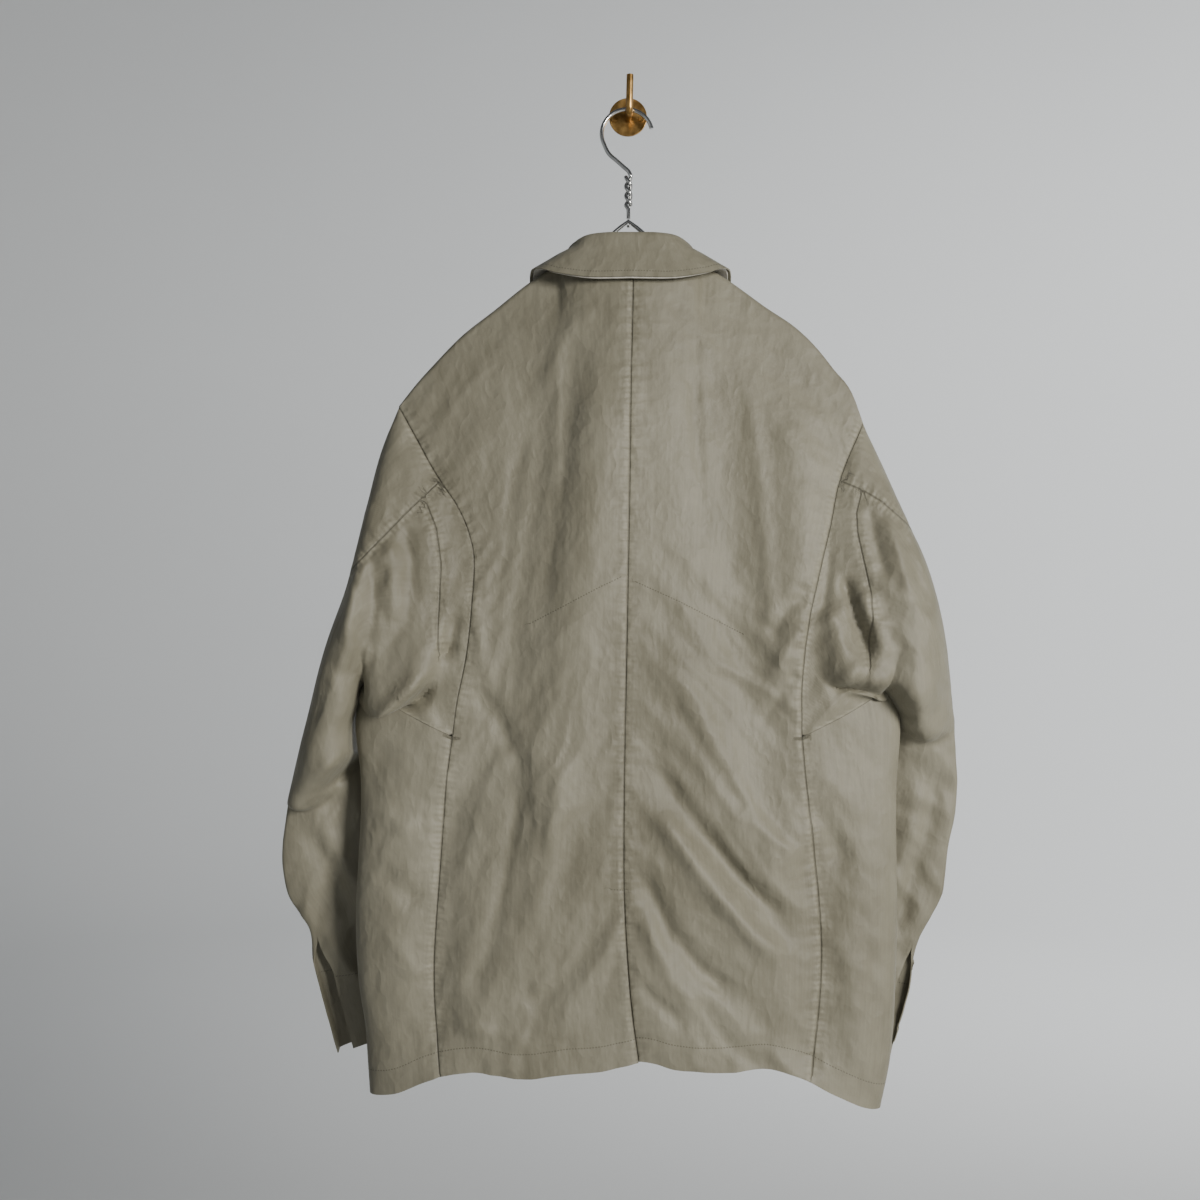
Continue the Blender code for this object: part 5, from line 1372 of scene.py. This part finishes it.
# %% buttons
BUTTON_RADIUS, BUTTON_THICK, BUTTON_RIM = 9.0, 3.2, 1.7
BUTTON_DISH, BUTTON_ROUND = 0.7, 0.7
THREAD, THREAD_SINK = 0.7, 1.6    # how thick a thread is, and how far its ends go into the holes
HOLE_RADIUS, HOLE_SPREAD = 0.85, 1.75
buttons, threads = {}, {}
for number in range(1, 6):
    low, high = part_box("button_%d" % number)
    centre = (low + high) / 2
    choose()
    bpy.ops.mesh.primitive_cylinder_add(vertices=48, radius=BUTTON_RADIUS * MM, depth=BUTTON_THICK * MM,
                                        location=centre, rotation=(math.radians(-90), 0, 0))
    button = bpy.context.object
    button.name = button.data.name = "sewn_button_%d" % number
    bpy.ops.object.transform_apply(location=True, rotation=True, scale=True)
    choose_faces(button, 1)
    bpy.ops.mesh.inset(thickness=BUTTON_RIM * MM)
    bpy.ops.transform.translate(value=(0, -BUTTON_DISH * MM, 0))
    bpy.ops.object.mode_set(mode="OBJECT")
    round_edges(button, BUTTON_ROUND, 3, 40)
    for across in (-1, 1):
        for up in (-1, 1):
            choose()
            spot = centre + Vector((across * HOLE_SPREAD * MM, 0, up * HOLE_SPREAD * MM))
            bpy.ops.mesh.primitive_cylinder_add(vertices=12, radius=HOLE_RADIUS * MM, depth=0.02,
                                                location=spot, rotation=(math.radians(90), 0, 0))
            cut_away(button, bpy.context.object)
    bpy.ops.object.shade_smooth_by_angle(angle=math.radians(35))
    buttons[number] = button
print("buttons:", len(buttons))

# %% button threads
for number, button in buttons.items():
    low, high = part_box("button_%d" % number)
    x, y, z = ((low + high) / 2 / MM)
    face = high.y / MM - 0.75
    for lean in (-1, 1):
        places = [(x + share * HOLE_SPREAD, face + rise, z + lean * share * HOLE_SPREAD)
                  for share, rise in ((-1, -THREAD_SINK), (-0.8, 0.1), (0.8, 0.1), (1, -THREAD_SINK))]
        name = "button_thread_%d%s" % (number, "ab"[lean > 0])
        threads[name] = (add_wire(name, smooth_route(places, 12), THREAD), number)

# %% [markdown]
# ## Shader maths
# 
# A material is a small calculation. The class below lets it be written as a formula: it wraps a
# node's socket, and each operator adds the Math node that it stands for.

# %% sockets that can be added and multiplied
class Term:
    """A number that a node gives, for use in formulas."""

    def __init__(self, tree, socket):
        self.tree, self.socket = tree, socket

    def maths(self, operation, *others):
        return self.tree.node("ShaderNodeMath", {"operation": operation}, [self, *others]).out(0)

    def __add__(self, other):
        return self.maths("ADD", other)

    __radd__ = __add__

    def __mul__(self, other):
        return self.maths("MULTIPLY", other)

    __rmul__ = __mul__

    def __sub__(self, other):
        return self.maths("SUBTRACT", other)

    def __rsub__(self, other):
        return (self * -1) + other

    def size(self):
        return self.maths("ABSOLUTE")

    def sine(self):
        return self.maths("SINE")

    def rise(self, low, high):
        """0 below low, 1 above high, smooth between."""
        found = self.tree.node("ShaderNodeMapRange", {"interpolation_type": "SMOOTHSTEP"},
                               {"Value": self, "From Min": low, "From Max": high})
        return found.out("Result")


class Made:
    """A node that has been added, with its outputs as terms."""

    def __init__(self, tree, node):
        self.tree, self.node = tree, node

    def out(self, name):
        return Term(self.tree, self.node.outputs[name])


class Finish:
    """A material, with one method that adds any node."""

    def __init__(self, name, **constants):
        self.material = bpy.data.materials.new(name)
        self.material.use_nodes = True
        self.nodes, self.links = self.material.node_tree.nodes, self.material.node_tree.links
        self.shader = self.nodes["Principled BSDF"]
        for socket, value in constants.items():
            self.shader.inputs[socket.replace("_", " ")].default_value = value

    def node(self, kind, settings, values):
        made = self.nodes.new(kind)
        for key, value in settings.items():
            setattr(made, key, value)
        for key, value in values.items() if isinstance(values, dict) else enumerate(values):
            self.give(made.inputs[key], value)
        return Made(self, made)

    def give(self, socket, value):
        if isinstance(value, Term):
            self.links.new(value.socket, socket)
        else:
            socket.default_value = value

    def field(self, name):
        return self.node("ShaderNodeAttribute", {"attribute_name": name}, {}).out("Fac")

    def place(self, source, scale):
        spot = self.node("ShaderNodeTexCoord", {}, {}).out(source)
        return self.node("ShaderNodeMapping", {}, {"Vector": spot, "Scale": scale}).out("Vector")

    def clouds(self, place, detail=3.0, roughness=0.5):
        found = self.node("ShaderNodeTexNoise", {}, {"Vector": place, "Scale": 1.0, "Detail": detail,
                                                     "Roughness": roughness})
        return found.out("Fac")

    def blend_colours(self, share, first, second):
        found = self.node("ShaderNodeMix", {"data_type": "RGBA"}, {})
        for key, value in (("Factor_Float", share), ("A_Color", first), ("B_Color", second)):
            socket = next(s for s in found.node.inputs if s.identifier == key)
            self.give(socket, value if isinstance(value, (Term, float)) else (*value, 1.0))
        return Term(self, next(s for s in found.node.outputs if s.identifier == "Result_Color"))

    def bump(self, height, distance, strength=1.0):
        found = self.node("ShaderNodeBump", {}, {"Height": height, "Distance": distance,
                                                 "Strength": strength})
        self.links.new(found.node.outputs["Normal"], self.shader.inputs["Normal"])


print("shader maths is ready")

# %% [markdown]
# ## Cotton
# 
# The cloth is a dense washed cotton satin: olive with a soft sheen, paler where it rubs beside the
# seams, darker in them, with faint streaks along the grain and a fine slanting weave.

# %% cotton
def cotton(name, dark, light, sheen):
    finish = Finish(name, Sheen_Weight=sheen, Sheen_Roughness=0.42, Specular_IOR_Level=0.42)
    finish.shader.inputs["Sheen Tint"].default_value = (0.93, 0.94, 0.88, 1)
    seam, seam_run = finish.field("seam_off"), finish.field("seam_run")
    stitch, stitch_run = finish.field("stitch_off"), finish.field("stitch_run")
    by_seam = finish.field("seam_far").rise(11.0, 7.0)
    by_stitch = finish.field("stitch_far").rise(9.0, 6.0)
    wide = finish.clouds(finish.place("Object", (7, 7, 5)), 3.0)
    mottle = finish.clouds(finish.place("Object", (45, 45, 28)), 4.0, 0.6)
    streak = finish.clouds(finish.place("UV", (420, 16, 1)), 2.0)
    tone = 0.5 + (wide - 0.5) * 0.9 + (mottle - 0.5) * 0.5 + (streak - 0.5) * 0.28
    colour = finish.blend_colours(tone.rise(0.05, 0.95), dark, light)
    beside = (seam.size() - 3.2).size().rise(3.4, 0.4) * by_seam
    worn = beside * finish.clouds(finish.place("Object", (160, 160, 160)), 2.0).rise(0.35, 0.65)
    colour = finish.blend_colours(worn * 0.34, colour, tuple(min(1.0, 1.28 * c) for c in light))
    inside = seam.size().rise(1.3, 0.2) * by_seam
    colour = finish.blend_colours(inside * 0.55, colour, tuple(0.35 * c for c in dark))
    dash = (stitch_run * (2 * math.pi / 2.7)).sine().rise(-0.5, 0.1)
    thread = stitch.size().rise(0.75, 0.25) * dash * by_stitch
    colour = finish.blend_colours(thread * 0.8, colour, tuple(0.6 * c for c in dark))
    finish.give(finish.shader.inputs["Base Color"], colour)
    finish.give(finish.shader.inputs["Roughness"], 0.5 + mottle * 0.16)
    weave = finish.node("ShaderNodeTexWave", {"bands_direction": "DIAGONAL"},
                        {"Vector": finish.place("UV", (1, 1, 1)), "Scale": 420.0, "Distortion": 1.5,
                         "Detail": 1.0}).out("Fac")
    crumple = finish.clouds(finish.place("Object", (120, 120, 70)), 4.0, 0.55)
    dents = finish.clouds(finish.place("Object", (34, 34, 20)), 3.0, 0.5)
    sharp = (finish.clouds(finish.place("Object", (38, 38, 26)), 2.0, 0.5) - 0.5).size()
    sharper = (finish.clouds(finish.place("Object", (90, 90, 60)), 2.0, 0.5) - 0.5).size()
    ripple = (seam_run * (2 * math.pi / 5.3) + mottle * 5).sine() * seam.size().rise(14.0, 1.0) * by_seam
    height = crumple * 0.45 + dents * 1.3 - sharp * 3.6 - sharper * 1.0
    height = height + ripple * 0.16 + weave * 0.035 - inside * 0.5 - thread * 0.12
    finish.bump(height, 0.0011, 0.85)
    return finish.material


finishes = {
    "olive": cotton("washed olive cotton", (0.138, 0.127, 0.088), (0.240, 0.226, 0.170), 0.10),
    "pale": cotton("faded cotton", (0.44, 0.42, 0.37), (0.55, 0.53, 0.48), 0.15),
}
print("cotton:", sorted(finishes))

# %% [markdown]
# ## Metal and horn
# 
# The wire is bright plated steel with faint smudges. The wall hook is old brass, browner in random
# patches. The buttons are dark horn with slow brown swirls.

# %% metal, horn and thread
def plain_finish(name, dark, light, scale, roughness, spread, metallic, dent):
    finish = Finish(name, Metallic=metallic)
    clouds = finish.clouds(finish.place("Object", (scale, scale, scale)), 4.0, 0.6)
    colour = finish.blend_colours(clouds.rise(0.3, 0.7), dark, light)
    finish.give(finish.shader.inputs["Base Color"], colour)
    finish.give(finish.shader.inputs["Roughness"], clouds * spread + roughness)
    finish.bump(finish.clouds(finish.place("Object", (900, 900, 900)), 2.0), dent, 0.4)
    return finish.material


finishes["wire"] = plain_finish("bright wire", (0.50, 0.50, 0.49), (0.66, 0.66, 0.65),
                                90, 0.10, 0.14, 1.0, 0.00004)
finishes["brass"] = plain_finish("old brass", (0.30, 0.17, 0.055), (0.55, 0.34, 0.12),
                                 120, 0.22, 0.22, 1.0, 0.00008)
finishes["horn"] = plain_finish("dark horn", (0.035, 0.024, 0.015), (0.12, 0.085, 0.05),
                                150, 0.28, 0.15, 0.0, 0.00005)
finishes["thread"] = plain_finish("sewing thread", (0.16, 0.145, 0.10), (0.24, 0.22, 0.16),
                                  900, 0.7, 0.1, 0.0, 0.0001)
print("finishes:", sorted(finishes))

# %% [markdown]
# ## What stands for what
# 
# Each piece rides on the one body, the solids that it stands for are hidden, and it gets its finish;
# each sheet of cloth says how large it was cut.

# %% cloth pieces ride and get their finish
def dress(piece, finish, slot, nodes):
    piece.data.materials.clear()
    piece.data.materials.append(finishes[finish])
    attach(piece, BODY)
    if nodes:
        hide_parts(*nodes)


for name, piece in cloth.items():
    pale = name == "under_collar"
    dress(piece, "pale" if pale else "olive", "pale_cotton" if pale else "olive_cotton", STANDS_FOR[name])
    wide, tall, area = piece["cut_width"], piece["cut_length"], piece["cut_area"]
    print(name, "cut", round(wide, 3), "x", round(tall, 3), "area", round(area, 4))

# %% metal pieces and buttons ride
METAL_STANDS_FOR = {
    "wire_hook": ["hanger_hook"], "wire_twist": ["hanger_twist"], "wire_frame": ["hanger_frame"],
    "wire_end": ["hanger_stud"], "brass_rosette": ["wall_rosette"], "brass_peg": ["wall_peg"],
    "brass_screw_left": ["screw_left"], "brass_screw_right": ["screw_right"],
}
for name, piece in metal.items():
    kind = name.split("_")[0]
    dress(piece, kind, {"wire": "bright_wire", "brass": "old_brass"}[kind], METAL_STANDS_FOR[name])
for number, button in buttons.items():
    dress(button, "horn", "button_horn", ["button_%d" % number])
for name, (thread, number) in threads.items():
    dress(thread, "thread", "olive_cotton", [])
print("pieces:", len(cloth) + len(metal) + len(buttons) + len(threads))

# %% [markdown]
# ## Floor, light and camera
# 
# The floor is a pale disc whose rim curves up far behind, so that it stays plain from all sides. A large
# soft light stands low in front, right of the camera, and a weak one fills the left.
# A third one lights only the floor's rim behind the jacket.

# %% floor
FLOOR_Z, FLOOR_RADIUS, RIM_RADIUS, RIM_STEPS, RIM_HEIGHT = -1.75, 4.2, 2.6, 16, 5.0
choose()
bpy.ops.mesh.primitive_circle_add(vertices=96, radius=FLOOR_RADIUS, fill_type="NGON",
                                  location=(0, 0, FLOOR_Z))
floor = bpy.context.object
floor.name = "floor"
bpy.ops.object.mode_set(mode="EDIT")
bpy.ops.mesh.select_all(action="SELECT")
reach, height = FLOOR_RADIUS, 0.0
for i in range(1, RIM_STEPS + 1):
    turn = math.pi / 2 * i / RIM_STEPS
    new_reach = FLOOR_RADIUS + RIM_RADIUS * math.sin(turn)
    new_height = RIM_RADIUS * (1 - math.cos(turn))
    if i == 1:
        bpy.ops.mesh.select_mode(type="EDGE")
        bpy.ops.mesh.region_to_loop()
    bpy.ops.mesh.extrude_edges_move(TRANSFORM_OT_translate={"value": (0, 0, new_height - height)})
    wider = new_reach / reach
    bpy.ops.transform.resize(value=(wider, wider, 1), center_override=(0, 0, FLOOR_Z))
    reach, height = new_reach, new_height
bpy.ops.mesh.extrude_edges_move(TRANSFORM_OT_translate={"value": (0, 0, RIM_HEIGHT - height)})
bpy.ops.object.mode_set(mode="OBJECT")
bpy.ops.object.shade_smooth()
pale = Finish("pale floor", Roughness=0.9)
shade = pale.clouds(pale.place("Object", (0.6, 0.6, 0.6)), 2.0)
colour = pale.blend_colours(shade, (0.66, 0.67, 0.67), (0.69, 0.70, 0.70))
pale.give(pale.shader.inputs["Base Color"], colour)
floor.data.materials.append(pale.material)
print("floor faces:", len(floor.data.polygons))

# %% lights
def add_light(name, place, target, width, power, colour):
    choose()
    bpy.ops.object.light_add(type="AREA", location=place)
    light = bpy.context.object
    light.name = name
    light.data.size = width
    light.data.energy = power
    light.data.color = colour
    light.rotation_euler = (Vector(target) - Vector(place)).to_track_quat("-Z", "Y").to_euler()
    print(name, power, "W")


add_light("window light", (1.85, -2.35, 0.1), (0, -0.05, -0.5), 0.9, 118, (1.0, 0.975, 0.93))
add_light("left fill", (-2.6, -2.4, -0.2), (0, -0.05, -0.5), 2.0, 5, (0.93, 0.96, 1.0))
add_light("backdrop light", (2.2, 1.6, 1.6), (2.6, 6.0, 0.2), 2.2, 250, (0.98, 0.99, 1.0))
world = bpy.data.worlds.new("soft room")
bpy.context.scene.world = world
world.use_nodes = True
world.node_tree.nodes["Background"].inputs["Color"].default_value = (0.92, 0.95, 1.0, 1)
world.node_tree.nodes["Background"].inputs["Strength"].default_value = 0.11

# %% camera
CAMERA_PLACE = (-0.028, -1.40, -0.4827)
bpy.ops.object.camera_add(location=CAMERA_PLACE, rotation=(math.radians(90), 0, 0))
camera = bpy.context.object
camera.data.sensor_width = 36
camera.data.lens = 36 / (1200 * 0.7153 * 0.001)
bpy.context.scene.camera = camera
print("lens:", round(camera.data.lens, 1), "mm")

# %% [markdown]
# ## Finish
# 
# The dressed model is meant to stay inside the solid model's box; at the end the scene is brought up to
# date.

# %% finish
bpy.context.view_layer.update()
